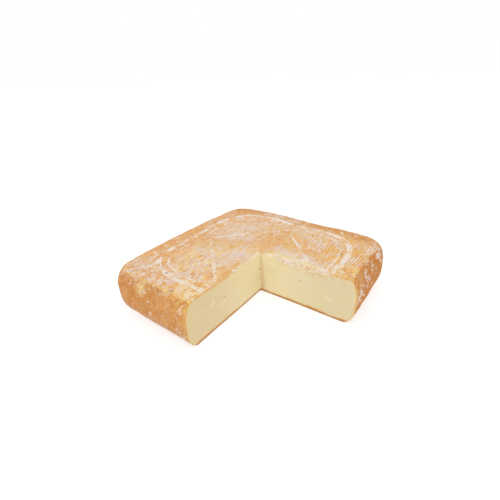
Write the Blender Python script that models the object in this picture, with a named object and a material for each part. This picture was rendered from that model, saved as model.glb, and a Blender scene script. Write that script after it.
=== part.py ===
"""Three quarters of a square washed-rind cheese, lying flat with one quarter cut out.

The whole cheese is a low rounded square. Its rind is pressed with a plain rounded frame and a
lozenge, its sides belly out a little and its bottom edge tucks in, most of all at the corners.
Two knife cuts that meet near the middle have taken away the quarter at +X, -Y. Metres, +Z up,
with the origin on the table under the middle of the whole cheese.
"""

import math

import bmesh
import bpy
from mathutils import Vector, noise

WIDTH = 0.2  # rind to rind, both ways
HEIGHT = 0.0447  # at the shoulders
CORNER_RADIUS = 0.0262  # of the square's corners, seen from above

SHOULDER_INSET = 0.0090  # how far in the top rounding starts
SHOULDER_DROP = 0.0175  # how far down it reaches
FOOT_INSET = 0.0090  # how far the bottom edge tucks in along the sides
FOOT_RISE = 0.0160  # how far up that tuck reaches
FOOT_TURN = math.radians(66.0)  # how far the bottom rounding turns before it meets the table
CORNER_TUCK = 0.0073  # how much further in the bottom edge goes at a corner
CORNER_SAG = 0.0020  # how much lower the shoulder is there
CORNER_START = 0.45  # share of the way from the middle to a corner where those two begin
DISH_DEPTH = 0.0014  # how far the middle of the top has sunk

# The rim is where the top ends and the side's rounding starts.
RIM_HALF = WIDTH / 2 - SHOULDER_INSET
RIM_RADIUS = CORNER_RADIUS - SHOULDER_INSET
CORNER_REACH = 1.0 - RIM_RADIUS * (1.0 - math.sqrt(0.5)) / RIM_HALF  # of its corners' middles

CUT_X = 0.0029  # the knife's two planes, which meet beside the middle
CUT_Y = 0.0018
CORNER_WEB_TOP = 0.0003  # paste left in the inner corner, at the top and at the bottom
CORNER_WEB_FOOT = 0.0014

FRAME_REACH = 0.0760  # middle of the pressed frame, measured along an axis
FRAME_SQUARENESS = 4.5  # 2 would be a circle, more is squarer
LOZENGE_REACH = 0.0600
BAND_HALF_WIDTH = 0.0048
BAND_HEIGHT = 0.0007

SWELL_HEIGHT = 0.00038  # slow unevenness of the rind
SWELL_WAVES = ((38.0, 31.0, 1.3), (71.0, -57.0, 2.1))  # radians per metre along X and Y, and phase
LUMP_HEIGHT = 0.00045  # its smaller lumps
LUMP_SIZE = 0.013

# Where the rind broke as the knife came down the cut that faces -Y: distance from the inner
# corner, rise of the lip there, and half width of the lump or dent.
BROKEN_LIP = ((0.027, -0.0017, 0.009), (0.041, 0.0007, 0.008), (0.062, -0.0016, 0.013))
LIP_REACH = 0.0085  # how far onto the top the break carries

TOP_SEGMENTS = 50  # of the grid that covers the whole top
ARC_STEPS = 4  # rows of faces down each rounding
WALL_STEPS = 2  # rows of faces between the roundings
KNIFE_CUTS = 27  # subdivisions of the block that cuts the quarter out
KNIFE_BLOCK = 0.112
KNIFE_WAVE = 0.00028  # ripple that the knife leaves in the soft paste
KNIFE_WAVE_LENGTH = 0.021
KNIFE_WANDER = 45.0  # radians per metre by which the ripple strays along the cut
KNIFE_FADE = 22.5  # radians per metre by which it grows and fades along the cut
KNIFE_FADE_START = 1.0  # radians into that fade at the inner corner
JUST_INSIDE = 0.999  # share of the block's half width past which a point is on its face

# Eyes in the paste that show on the cuts: distance from the inner corner, height, half width.
LEFT_EYES = ((0.0565, 0.0265, 0.0012), (0.0480, 0.0350, 0.0008), (0.0012, 0.0262, 0.0010))
RIGHT_EYES = ((0.0432, 0.0267, 0.0013),)
EYE_SQUASH = 0.7  # height of an eye over its width

RIND_COLOUR = (0.66, 0.35, 0.13, 1.0)
RIND_ROUGHNESS = 0.75
PASTE_COLOUR = (0.79, 0.64, 0.36, 1.0)
PASTE_ROUGHNESS = 0.5
SHARP_ANGLE = math.radians(50.0)  # past which an edge is shaded as an edge


def clear_scene():
    for item in list(bpy.data.objects):
        bpy.data.objects.remove(item, do_unlink=True)


def new_collection(name):
    group = bpy.data.collections.new(name)
    bpy.context.scene.collection.children.link(group)
    return group


def make_material(name, colour, roughness):
    material = bpy.data.materials.new(name)
    material.use_nodes = True
    shader = material.node_tree.nodes["Principled BSDF"]
    shader.inputs["Base Color"].default_value = colour
    shader.inputs["Roughness"].default_value = roughness
    shader.inputs["Metallic"].default_value = 0.0
    return material


def bell(distance, half_width):
    """1 in the middle of a band, falling smoothly to 0 at its edges."""
    if abs(distance) >= half_width:
        return 0.0
    return 0.5 * (1.0 + math.cos(math.pi * distance / half_width))


def unevenness(x, y, z):
    """Rise of the rind at a point: a few long waves, with smaller lumps on them."""
    waves = sum(math.sin(along_x * x + along_y * y + phase) for along_x, along_y, phase in SWELL_WAVES)
    return SWELL_HEIGHT * waves + LUMP_HEIGHT * noise.noise(Vector((x, y, z)) / LUMP_SIZE)


def frame_distance(x, y):
    """How far outside the middle of the pressed frame a point lies, along its own direction."""
    power = FRAME_SQUARENESS
    return (abs(x) ** power + abs(y) ** power) ** (1.0 / power) - FRAME_REACH


def lozenge_distance(x, y):
    return (abs(x) + abs(y) - LOZENGE_REACH) / math.sqrt(2.0)


def pressed_bands(x, y):
    """Height of the raised frame and of the lozenge inside it."""
    on_frame = bell(frame_distance(x, y), BAND_HALF_WIDTH)
    on_lozenge = bell(lozenge_distance(x, y), BAND_HALF_WIDTH)
    return BAND_HEIGHT * max(on_frame, on_lozenge)


def broken_lip(x, y):
    """Rise and fall of the top where the rind broke along one cut."""
    near_cut = bell(y - CUT_Y, LIP_REACH)
    return near_cut * sum(rise * bell(x - CUT_X - along, width) for along, rise, width in BROKEN_LIP)


def corner_share(x, y):
    """0 in the middle and along the sides, rising smoothly to 1 at the corners of the rim."""
    share = 1.0
    for reach in (abs(x) / RIM_HALF, abs(y) / RIM_HALF):
        step = (reach - CORNER_START) / (CORNER_REACH - CORNER_START)
        step = min(max(step, 0.0), 1.0)
        share *= step * step * (3.0 - 2.0 * step)
    return share


def top_height(x, y):
    """Height of the top face: sunk in the middle and at the corners, with its pressed relief."""
    u, v = min(abs(x) / RIM_HALF, 1.0), min(abs(y) / RIM_HALF, 1.0)
    dish = DISH_DEPTH * ((1.0 - u * u) * (1.0 - v * v)) ** 2
    level = HEIGHT - dish - CORNER_SAG * corner_share(x, y)
    return level + pressed_bands(x, y) + broken_lip(x, y) + unevenness(x, y, HEIGHT)


def rounded_plan(u, v):
    """Where a point of the square grid, with u and v from -1 to 1, lies on the top's outline.

    Only the four corner cells change: a square of the rim's radius is bent into a quarter disc.
    """
    x, y = abs(u) * RIM_HALF, abs(v) * RIM_HALF
    across, along = x - (RIM_HALF - RIM_RADIUS), y - (RIM_HALF - RIM_RADIUS)
    if across > 0.0 and along > 0.0:
        reach = max(across, along)
        turn = (math.pi / 4) * min(across, along) / reach
        near, far = reach * math.cos(turn), reach * math.sin(turn)
        across, along = (near, far) if across >= along else (far, near)
        x, y = RIM_HALF - RIM_RADIUS + across, RIM_HALF - RIM_RADIUS + along
    return math.copysign(x, u), math.copysign(y, v)


def outward_of(x, y):
    """Level direction away from the cheese at a point of the top's rim."""
    across = max(abs(x) - (RIM_HALF - RIM_RADIUS), 0.0)
    along = max(abs(y) - (RIM_HALF - RIM_RADIUS), 0.0)
    return Vector((math.copysign(across, x), math.copysign(along, y), 0.0)).normalized()


def side_profile(corner):
    """Rows of the side from the rim down to the table, as (inset, height).

    corner is how much of the corners' sag and extra tuck the side has there, from 0 to 1.
    """
    foot_inset = FOOT_INSET + CORNER_TUCK * corner
    wall_top = HEIGHT - SHOULDER_DROP
    rows = []
    for step in range(1, ARC_STEPS + 1):
        turn = math.pi / 2 * step / ARC_STEPS
        inset = SHOULDER_INSET * (1.0 - math.sin(turn))
        rows.append((inset, wall_top + (SHOULDER_DROP - CORNER_SAG * corner) * math.cos(turn)))
    for step in range(1, WALL_STEPS):
        rows.append((0.0, wall_top + (FOOT_RISE - wall_top) * step / WALL_STEPS))
    for step in range(ARC_STEPS + 1):
        turn = FOOT_TURN * step / ARC_STEPS
        inset = foot_inset * (1.0 - math.cos(turn)) / (1.0 - math.cos(FOOT_TURN))
        rows.append((inset, FOOT_RISE * (1.0 - math.sin(turn) / math.sin(FOOT_TURN))))
    return rows


def side_point(rim_point, outward, row):
    """A point of the side below a point of the rim, pushed in or out by the rind's unevenness."""
    inset, height = side_profile(corner_share(rim_point.x, rim_point.y))[row]
    spot = rim_point + outward * (SHOULDER_INSET - inset)
    push = unevenness(spot.x, spot.y, height) * min(height / FOOT_RISE, 1.0)
    on_shoulder = max(0.0, 1.0 - (HEIGHT - height) / SHOULDER_DROP)
    return spot + outward * push + Vector((0.0, 0.0, height + push * on_shoulder))


def finish_mesh(shape, name, collection):
    mesh = bpy.data.meshes.new(name)
    shape.to_mesh(mesh)
    shape.free()
    item = bpy.data.objects.new(name, mesh)
    collection.objects.link(item)
    return item


def whole_cheese(name, collection):
    """The uncut cheese: a grid over the top, its rim carried down the side, and a flat base."""
    shape = bmesh.new()
    bmesh.ops.create_grid(shape, x_segments=TOP_SEGMENTS, y_segments=TOP_SEGMENTS, size=1.0)
    rim_store = shape.verts.layers.float_vector.new("rim")
    outward_store = shape.verts.layers.float_vector.new("outward")
    for vertex in shape.verts:
        x, y = rounded_plan(vertex.co.x, vertex.co.y)
        vertex.co = Vector((x, y, top_height(x, y)))
        if vertex.is_boundary:
            vertex[rim_store] = Vector((x, y, 0.0))
            vertex[outward_store] = outward_of(x, y)
    rim = [edge for edge in shape.edges if edge.is_boundary]
    for row in range(len(side_profile(0.0))):
        made = bmesh.ops.extrude_edge_only(shape, edges=rim)["geom"]
        rim = [item for item in made if isinstance(item, bmesh.types.BMEdge) and item.is_boundary]
        for vertex in (item for item in made if isinstance(item, bmesh.types.BMVert)):
            vertex.co = side_point(vertex[rim_store], vertex[outward_store], row)
    bmesh.ops.contextual_create(shape, geom=rim)
    bmesh.ops.recalc_face_normals(shape, faces=shape.faces[:])
    return finish_mesh(shape, name, collection)


def knife_wave(along, height):
    """Ripple left on a cut, along the way the knife was drawn."""
    phase = 2.0 * math.pi * height / KNIFE_WAVE_LENGTH + math.sin(KNIFE_WANDER * along)
    return KNIFE_WAVE * math.sin(phase) * math.sin(KNIFE_FADE * along + KNIFE_FADE_START)


def quarter_cutter(collection):
    """The block that takes the quarter out, rippled where the knife passed."""
    shape = bmesh.new()
    bmesh.ops.create_cube(shape, size=KNIFE_BLOCK)
    bmesh.ops.subdivide_edges(shape, edges=shape.edges[:], cuts=KNIFE_CUTS, use_grid_fill=True)
    half = KNIFE_BLOCK / 2
    middle = Vector((CUT_X + half, CUT_Y - half, HEIGHT / 2))
    for vertex in shape.verts:
        on_left = vertex.co.x < -JUST_INSIDE * half
        on_right = vertex.co.y > JUST_INSIDE * half
        vertex.co += middle
        height = vertex.co.z
        if on_left and on_right:
            foot_share = 1.0 - min(max(height / HEIGHT, 0.0), 1.0)
            web = CORNER_WEB_TOP + (CORNER_WEB_FOOT - CORNER_WEB_TOP) * foot_share
            vertex.co += Vector((web, -web, 0.0))
        elif on_left:
            vertex.co.x += knife_wave(CUT_Y - vertex.co.y, height)
        elif on_right:
            vertex.co.y += knife_wave(vertex.co.x - CUT_X, height)
    bmesh.ops.recalc_face_normals(shape, faces=shape.faces[:])
    return finish_mesh(shape, "quarter_cutter", collection)


def eye_cutter(name, collection, centre, half_width):
    """A small egg-shaped hollow in the paste, open on a cut."""
    shape = bmesh.new()
    bmesh.ops.create_icosphere(shape, subdivisions=1, radius=half_width)
    for vertex in shape.verts:
        vertex.co.z *= EYE_SQUASH
        vertex.co += centre
    return finish_mesh(shape, name, collection)


def make_cutters():
    """The knife's block and the eyes, kept as hidden guides in their own collection."""
    cutters = new_collection("cutters")
    quarter_cutter(cutters)
    for number, (along, height, half_width) in enumerate(LEFT_EYES):
        centre = Vector((CUT_X + knife_wave(along, height), CUT_Y - along, height))
        eye_cutter(f"left_eye_{number}", cutters, centre, half_width)
    for number, (along, height, half_width) in enumerate(RIGHT_EYES):
        centre = Vector((CUT_X + along, CUT_Y + knife_wave(along, height), height))
        eye_cutter(f"right_eye_{number}", cutters, centre, half_width)
    for item in cutters.objects:
        item.hide_render = True
        item.display_type = "WIRE"
    return cutters


def give_finishes(cheese, cutters):
    """Rind all round the cheese, and paste on the faces that the cutters make."""
    rind = make_material("rind", RIND_COLOUR, RIND_ROUGHNESS)
    paste = make_material("paste", PASTE_COLOUR, PASTE_ROUGHNESS)
    for item in (cheese, *cutters.objects):
        item.data.materials.append(rind)
        item.data.materials.append(paste)
    for cutter in cutters.objects:
        for face in cutter.data.polygons:
            face.material_index = 1


def main():
    clear_scene()
    cheese = whole_cheese("cheese", new_collection("square_cheese"))
    cutters = make_cutters()
    give_finishes(cheese, cutters)
    cut = cheese.modifiers.new("quarter taken out", "BOOLEAN")
    cut.operation = "DIFFERENCE"
    cut.operand_type = "COLLECTION"
    cut.collection = cutters
    cut.solver = "EXACT"
    cheese.data.shade_smooth()
    cheese.data.set_sharp_from_angle(angle=SHARP_ANGLE)


main()
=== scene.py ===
"""Looks of three quarters of a square washed-rind cheese, lying flat with one quarter cut out.

The surface is one closed mesh of four patches that share their edges: the top with its pressed
relief, the side carried down from the top's rim, and the two cut faces stretched between the top,
the side and the table. Its sizes repeat the solid's own. A second mesh holds the crumbs that
stick to it. Metres, +Z up.
"""

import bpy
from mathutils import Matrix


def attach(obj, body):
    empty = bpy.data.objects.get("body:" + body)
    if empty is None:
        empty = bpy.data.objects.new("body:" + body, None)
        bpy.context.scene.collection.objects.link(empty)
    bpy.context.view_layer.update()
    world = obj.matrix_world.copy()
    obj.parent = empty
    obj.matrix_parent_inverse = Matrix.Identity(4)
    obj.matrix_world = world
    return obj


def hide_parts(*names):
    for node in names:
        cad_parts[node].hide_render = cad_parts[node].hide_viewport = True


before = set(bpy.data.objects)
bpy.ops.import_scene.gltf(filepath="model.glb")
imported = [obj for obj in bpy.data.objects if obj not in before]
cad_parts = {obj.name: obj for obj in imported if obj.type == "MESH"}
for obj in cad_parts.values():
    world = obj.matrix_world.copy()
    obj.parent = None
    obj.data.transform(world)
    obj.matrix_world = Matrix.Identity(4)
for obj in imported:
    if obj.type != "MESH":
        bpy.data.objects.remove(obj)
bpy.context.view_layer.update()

import logging
import math
from dataclasses import dataclass, field
from enum import Enum

import bpy
import numpy as np
from mathutils import Matrix, Vector

LOG = logging.getLogger("cheese")
BODY = "root"
NODE = "cheese"
MM = 0.001

Pair = tuple[float, float]
Triple = tuple[float, float, float]
Span = tuple[float, float, float, float]


def bell(distance: np.ndarray, half_width: float) -> np.ndarray:
    """Gives 1 in the middle of a band and falls by a cosine to 0 at its edges.

    Args:
        distance: distance from the band's middle.
        half_width: distance at which the band ends.

    Returns:
        The share of the band's full height at each distance.
    """
    return 0.5 * (1.0 + np.cos(np.pi * np.clip(np.abs(distance) / half_width, 0.0, 1.0)))


def ease(value: np.ndarray, start: float, end: float) -> np.ndarray:
    """Rises from 0 at start to 1 at end along the cubic 3t^2 - 2t^3.

    Args:
        value: where to read the curve.
        start: value at which it leaves 0.
        end: value at which it reaches 1.

    Returns:
        The risen share, between 0 and 1.
    """
    share = np.clip((value - start) / (end - start), 0.0, 1.0)
    return share * share * (3.0 - 2.0 * share)


def plateau(value: np.ndarray, span: Span) -> np.ndarray:
    """Rises to 1 between the span's first two numbers and falls back to 0 between its last two."""
    start, full, fade, end = span
    return ease(value, start, full) * (1.0 - ease(value, fade, end))


def add_object(name: str, data: bpy.types.ID) -> bpy.types.Object:
    """Puts an object with this data into the scene, unmoved and unscaled.

    Args:
        name: name of the object.
        data: its mesh, lamp or camera.

    Returns:
        The object.
    """
    made = bpy.data.objects.new(name, data)
    bpy.context.scene.collection.objects.link(made)
    return made


class GradientNoise:
    """Seeded gradient noise: random slopes on a unit lattice, blended by a quintic curve."""

    PERIOD = 256
    GAIN = 1.7

    def __init__(self, seed: int) -> None:
        """Draws the lattice's slopes.

        Args:
            seed: start of the random draw.
        """
        draw = np.random.default_rng(seed)
        order = draw.permutation(self.PERIOD)
        slopes = draw.normal(size=(self.PERIOD, 3))
        self.order = np.concatenate([order, order])
        self.slopes = slopes / np.linalg.norm(slopes, axis=1, keepdims=True)

    def at(self, points: np.ndarray, size: float) -> np.ndarray:
        """Reads the noise, which stays within about -1 and 1.

        Args:
            points: places, one row each.
            size: width of one lattice cell, in the points' units.

        Returns:
            The noise at each place.
        """
        spots = points / size
        cell = np.floor(spots).astype(int)
        inside = spots - cell
        blend = inside ** 3 * (inside * (inside * 6.0 - 15.0) + 10.0)
        total = np.zeros(len(points))
        for corner in np.ndindex(2, 2, 2):
            index = (cell + corner) % self.PERIOD
            key = self.order[self.order[self.order[index[:, 0]] + index[:, 1]] + index[:, 2]]
            weight = np.prod(np.where(corner, blend, 1.0 - blend), axis=1)
            total += weight * np.einsum("ij,ij->i", self.slopes[key], inside - corner)
        return total * self.GAIN


@dataclass(frozen=True)
class Blotch:
    """A soft round patch of colour or relief about a place on the cheese."""

    place: Triple
    reach: float
    strength: float

    def share(self, points: np.ndarray) -> np.ndarray:
        """Strength of the patch at each point: strength times exp(-(distance / reach)^2)."""
        away = np.linalg.norm(points - np.array(self.place), axis=1)
        return self.strength * np.exp(-((away / self.reach) ** 2))


def blotch_cover(points: np.ndarray, blotches: tuple[Blotch, ...]) -> np.ndarray:
    """Lays patches over each other: 1 less the product of what each leaves bare.

    Args:
        points: places, one row each.
        blotches: the patches.

    Returns:
        The covered share at each place.
    """
    bare = np.ones(len(points))
    for blotch in blotches:
        bare *= 1.0 - blotch.share(points)
    return 1.0 - bare


def blotch_rows(*rows: tuple[float, float, float, float, float]) -> tuple[Blotch, ...]:
    """Makes patches from rows of numbers.

    Args:
        rows: X, Y, Z and the reach in millimetres, and the strength.

    Returns:
        The patches.
    """
    return tuple(Blotch((x * MM, y * MM, z * MM), reach * MM, strength) for x, y, z, reach, strength in rows)


@dataclass(frozen=True)
class CheeseForm:
    """Sizes of the cheese, as in the solid, and the smooth shape that they give."""

    width: float = 200 * MM
    height: float = 44.7 * MM
    corner_radius: float = 26.2 * MM
    shoulder_inset: float = 9.0 * MM
    shoulder_drop: float = 17.5 * MM
    foot_inset: float = 9.0 * MM
    foot_rise: float = 16.0 * MM
    foot_turn: float = math.radians(66.0)
    corner_tuck: float = 7.3 * MM
    corner_sag: float = 2.0 * MM
    corner_start: float = 0.45
    dish_depth: float = 1.4 * MM
    cut_x: float = 2.9 * MM
    cut_y: float = 1.8 * MM
    frame_reach: float = 76.0 * MM
    frame_squareness: float = 4.5
    lozenge_reach: float = 60.0 * MM
    band_half_width: float = 4.8 * MM

    @property
    def rim_half(self) -> float:
        """Half the width of the top, inside the side's rounding."""
        return self.width / 2 - self.shoulder_inset

    @property
    def rim_radius(self) -> float:
        """Radius of the top's corners, seen from above."""
        return self.corner_radius - self.shoulder_inset

    def corner_share(self, x: np.ndarray, y: np.ndarray) -> np.ndarray:
        """Gives 0 along the sides and 1 at the corners: the product of two eased shares of x and y.

        Args:
            x: places along X.
            y: places along Y.

        Returns:
            The share at each place.
        """
        end = 1.0 - self.rim_radius * (1.0 - math.sqrt(0.5)) / self.rim_half
        return ease(np.abs(x) / self.rim_half, self.corner_start, end) * ease(
            np.abs(y) / self.rim_half, self.corner_start, end
        )

    def frame_distance(self, x: np.ndarray, y: np.ndarray) -> np.ndarray:
        """Distance outside the pressed frame's middle: (|x|^n + |y|^n)^(1/n) less its reach."""
        power = self.frame_squareness
        return (np.abs(x) ** power + np.abs(y) ** power) ** (1.0 / power) - self.frame_reach

    def lozenge_distance(self, x: np.ndarray, y: np.ndarray) -> np.ndarray:
        """Distance outside the lozenge's middle line: (|x| + |y| less its reach) / sqrt 2."""
        return (np.abs(x) + np.abs(y) - self.lozenge_reach) / math.sqrt(2.0)

    def bands(self, x: np.ndarray, y: np.ndarray) -> np.ndarray:
        """Share of the pressed bands' height: the larger bell of the frame and of the lozenge."""
        on_frame = bell(self.frame_distance(x, y), self.band_half_width)
        return np.maximum(on_frame, bell(self.lozenge_distance(x, y), self.band_half_width))

    def level(self, x: np.ndarray, y: np.ndarray) -> np.ndarray:
        """Height of the plain top: the shoulders' height, less the dish and the corners' sag.

        The dish is deepest in the middle: its depth times ((1 - u^2)(1 - v^2))^2, with u and v from
        0 there to 1 at the rim.

        Args:
            x: places along X.
            y: places along Y.

        Returns:
            The height at each place.
        """
        u = np.clip(np.abs(x) / self.rim_half, 0.0, 1.0)
        v = np.clip(np.abs(y) / self.rim_half, 0.0, 1.0)
        dish = self.dish_depth * ((1.0 - u * u) * (1.0 - v * v)) ** 2
        return self.height - dish - self.corner_sag * self.corner_share(x, y)

    def bend_corners(self, x: np.ndarray, y: np.ndarray) -> tuple[np.ndarray, np.ndarray]:
        """Bends the square grid's four corner cells into quarter discs.

        In a corner cell the larger of the two distances past the cell's start becomes the radius,
        and their ratio becomes the angle.

        Args:
            x: grid lines' places along X.
            y: grid lines' places along Y.

        Returns:
            The bent places.
        """
        start = self.rim_half - self.rim_radius
        across, along = np.abs(x) - start, np.abs(y) - start
        in_corner = (across > 0.0) & (along > 0.0)
        reach = np.where(in_corner, np.maximum(across, along), 1.0)
        turn = (math.pi / 4) * np.where(in_corner, np.minimum(across, along), 0.0) / reach
        longer, shorter = reach * np.cos(turn), reach * np.sin(turn)
        bent_x = start + np.where(across >= along, longer, shorter)
        bent_y = start + np.where(across >= along, shorter, longer)
        return (
            np.where(in_corner, np.copysign(bent_x, x), x),
            np.where(in_corner, np.copysign(bent_y, y), y),
        )

    def outward(self, x: np.ndarray, y: np.ndarray) -> np.ndarray:
        """Level directions away from the cheese at points of the rim.

        Args:
            x: places along X.
            y: places along Y.

        Returns:
            A direction for each point, one row each.
        """
        start = self.rim_half - self.rim_radius
        across = np.copysign(np.maximum(np.abs(x) - start, 0.0), x)
        along = np.copysign(np.maximum(np.abs(y) - start, 0.0), y)
        direction = np.stack([across, along], axis=-1)
        return direction / np.linalg.norm(direction, axis=-1, keepdims=True)

    def side_rows(self, corner: np.ndarray, steps: tuple[int, int, int]) -> tuple[np.ndarray, ...]:
        """Profile of the side below each rim point: a quarter ellipse, a straight wall, the foot.

        Args:
            corner: how much of the corners' sag and tuck each column has.
            steps: rows of faces down the shoulder, the wall and the foot.

        Returns:
            Inset from the widest line, height, and the normal's outward and upward parts, each
            with one row per column of the side.
        """
        corner = corner[:, None]
        wall_top = self.height - self.shoulder_drop
        turn = np.linspace(0.0, math.pi / 2, steps[0] + 1)[None, :]
        drop = self.shoulder_drop - self.corner_sag * corner
        shoulder = (
            self.shoulder_inset * (1.0 - np.sin(turn)) + 0.0 * corner,
            wall_top + drop * np.cos(turn),
            drop * np.sin(turn),
            self.shoulder_inset * np.cos(turn) + 0.0 * corner,
        )
        down = np.linspace(0.0, 1.0, steps[1] + 1)[None, 1:-1] + 0.0 * corner
        wall = (0.0 * down, wall_top + (self.foot_rise - wall_top) * down, 0.0 * down + 1.0, 0.0 * down)
        turn = np.linspace(0.0, self.foot_turn, steps[2] + 1)[None, :]
        inset = (self.foot_inset + self.corner_tuck * corner) / (1.0 - math.cos(self.foot_turn))
        rise = self.foot_rise / math.sin(self.foot_turn) + 0.0 * corner
        foot = (
            inset * (1.0 - np.cos(turn)),
            self.foot_rise - rise * np.sin(turn),
            rise * np.cos(turn),
            -inset * np.sin(turn),
        )
        inset, height, out, up = (np.concatenate(parts, axis=1) for parts in zip(shoulder, wall, foot))
        length = np.hypot(out, up)
        return inset, height, out / length, up / length


@dataclass(frozen=True)
class RindRelief:
    """Rise of the rind over the smooth form."""

    form: CheeseForm
    noise: GradientNoise
    swell_height: float = 0.38 * MM
    swell_waves: tuple[Triple, ...] = ((38.0, 31.0, 1.3), (71.0, -57.0, 2.1))
    lumps: tuple[Pair, ...] = (
        (13.0 * MM, 0.40 * MM),
        (5.2 * MM, 0.20 * MM),
        (2.3 * MM, 0.11 * MM),
        (1.2 * MM, 0.05 * MM),
    )
    band_height: float = 0.75 * MM
    ridge_pitch: float = 3.1 * MM
    ridge_tilt: float = math.radians(5.0)
    ridge_height: float = 0.26 * MM
    hatch: tuple[Blotch, ...] = blotch_rows(
        (57, 60, 44, 22, 1.0),
        (44, 44, 44, 13, 0.7),
        (62, 20, 44, 8, 0.6),
        (-8, -28, 44, 13, 0.8),
        (-40, 45, 44, 34, 0.7),
    )
    plain_hatch: float = 0.3
    hatch_fade: Pair = (1 * MM, 5 * MM)
    hatch_drop: Pair = (5 * MM, 3 * MM)
    hatch_mean: float = 0.75
    hatch_wander: float = 0.5
    wander_size: float = 11 * MM
    outer_hatch: tuple[Blotch, ...] = blotch_rows(
        (86, 66, 44, 12, 0.75),
        (84, 34, 44, 10, 0.75),
        (72, 22, 44, 9, 0.6),
        (-84, -76, 44, 14, 0.4),
    )
    bloomed: tuple[Blotch, ...] = blotch_rows(
        (-72, -86, 44, 30, 0.65),
        (-38, -84, 44, 24, 0.6),
        (-28, -58, 44, 17, 0.75),
        (-30, -25, 44, 20, 0.6),
        (2, -62, 44, 12, 0.5),
        (30, 10, 44, 12, 1.0),
        (46, 10, 44, 12, 0.95),
        (64, 10, 44, 12, 0.7),
        (40, 52, 44, 13, 0.5),
        (86, 64, 44, 12, 0.5),
        (84, 34, 44, 10, 0.5),
        (95, 88, 36, 12, 1.0),
        (98, 78, 30, 10, 0.9),
        (100, 50, 30, 14, 0.65),
        (97, 44, 40, 8, 0.6),
        (97, 27, 40, 8, 0.7),
        (100, 28, 29, 13, 0.75),
        (100, 8, 25, 15, 1.0),
        (-4, -98, 14, 17, 0.75),
        (-88, -88, 20, 17, 0.55),
        (-60, 30, 44, 30, 0.5),
        (-20, 80, 44, 25, 0.5),
        (-100, -20, 26, 26, 0.55),
        (-100, 60, 30, 24, 0.6),
        (-30, 100, 28, 30, 0.6),
        (60, 100, 24, 26, 0.65),
    )
    creamy: tuple[Blotch, ...] = blotch_rows(
        (-36, -34, 44, 25, 0.75),
        (-8, -10, 44, 17, 0.9),
        (22, 8, 44, 17, 0.95),
        (46, 4, 44, 13, 0.8),
        (-52.2, -97, 40.6, 4.6, 0.9),
        (-51, -99, 35, 3.4, 0.5),
        (-40, 30, 44, 26, 0.6),
        (20, 60, 44, 22, 0.4),
    )
    veiled: tuple[Blotch, ...] = blotch_rows(
        (96.5, 72, 40.5, 6, 1.0),
        (97, 62, 40, 4.5, 0.85),
        (99.5, 66, 35, 4, 0.8),
        (98, 45, 39, 3, 0.6),
        (97.5, 26, 40, 3.5, 0.7),
        (100, 33, 33, 4, 0.7),
        (99, 14, 34, 4, 0.7),
        (-47, -98, 38, 2.6, 0.8),
        (-42, -100, 31, 2.2, 0.8),
        (-100, 20, 34, 5, 0.7),
        (10, 100, 33, 6, 0.7),
        (-84, 95, 35, 6, 0.8),
    )
    golden: tuple[Blotch, ...] = blotch_rows(
        (62, 48, 44, 42, 1.0),
        (82, 10, 44, 22, 1.0),
        (-34, -36, 44, 24, 0.9),
        (-8, -84, 44, 18, 0.9),
        (-40, 60, 44, 40, 0.5),
    )
    specks: tuple[Blotch, ...] = blotch_rows(
        (-43.5, -74.7, 44.4, 1.0, 1.0),
        (68.6, 40.6, 44.4, 1.0, 1.0),
        (-20.7, -89.8, 44.6, 1.3, 0.8),
        (-40.8, -94.7, 43.2, 1.2, 0.6),
        (-5.6, -95.8, 42.1, 1.3, 0.7),
        (-12.8, -100, 21.3, 1.4, 0.5),
    )
    broken_lip: tuple[Triple, ...] = (
        (27 * MM, -1.7 * MM, 9 * MM),
        (41 * MM, 0.7 * MM, 8 * MM),
        (62 * MM, -1.6 * MM, 13 * MM),
    )
    lip_reach: float = 8.5 * MM
    grainy: tuple[Blotch, ...] = blotch_rows(
        (-6, -88, 44, 20, 1.0),
        (-36, -36, 44, 26, 0.9),
        (-8, -10, 44, 18, 0.9),
        (-14, -60, 44, 14, 0.7),
        (-52, -97, 41, 6, 0.55),
        (84, 8, 42, 14, 0.8),
        (68, 22, 44, 12, 0.6),
        (-2, -97, 38, 6, 0.9),
        (-28, -60, 44, 20, 0.7),
    )
    drawn_along: Span = (0 * MM, 7 * MM, 62 * MM, 86 * MM)
    drawn_reach: float = 3.5 * MM
    drawn_swell: float = 6.5 * MM
    drawn_middle: float = 36 * MM
    drawn_half: float = 36 * MM
    left_drawn_end: Pair = (28 * MM, 60 * MM)
    left_drawn_reach: float = 2.6 * MM
    left_drawn_share: float = 0.85
    drawn_drop: Pair = (8 * MM, 4 * MM)
    relief_drop: Pair = (8 * MM, 3 * MM)
    drawn_roll: float = 0.9 * MM
    roll_reach: float = 4.5 * MM
    crumble_along: Span = (14 * MM, 30 * MM, 68 * MM, 84 * MM)
    crumble_reach: float = 5.0 * MM
    crumble_size: float = 3.0 * MM
    crumble_height: float = 0.75 * MM
    fine_crumble: float = 0.6

    def near_top(self, points: np.ndarray, drop: Pair) -> np.ndarray:
        """Rises from 0 to 1 between two heights, given as drops below the shoulders' height."""
        return ease(points[:, 2], self.form.height - drop[0], self.form.height - drop[1])

    @staticmethod
    def thinned(inward: np.ndarray, reach: np.ndarray | float) -> np.ndarray:
        """Gives 1 at the lip and falls to 0 inward, half way at the reach."""
        return 1.0 - ease(inward, 0.4 * reach, 1.6 * reach)

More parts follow.
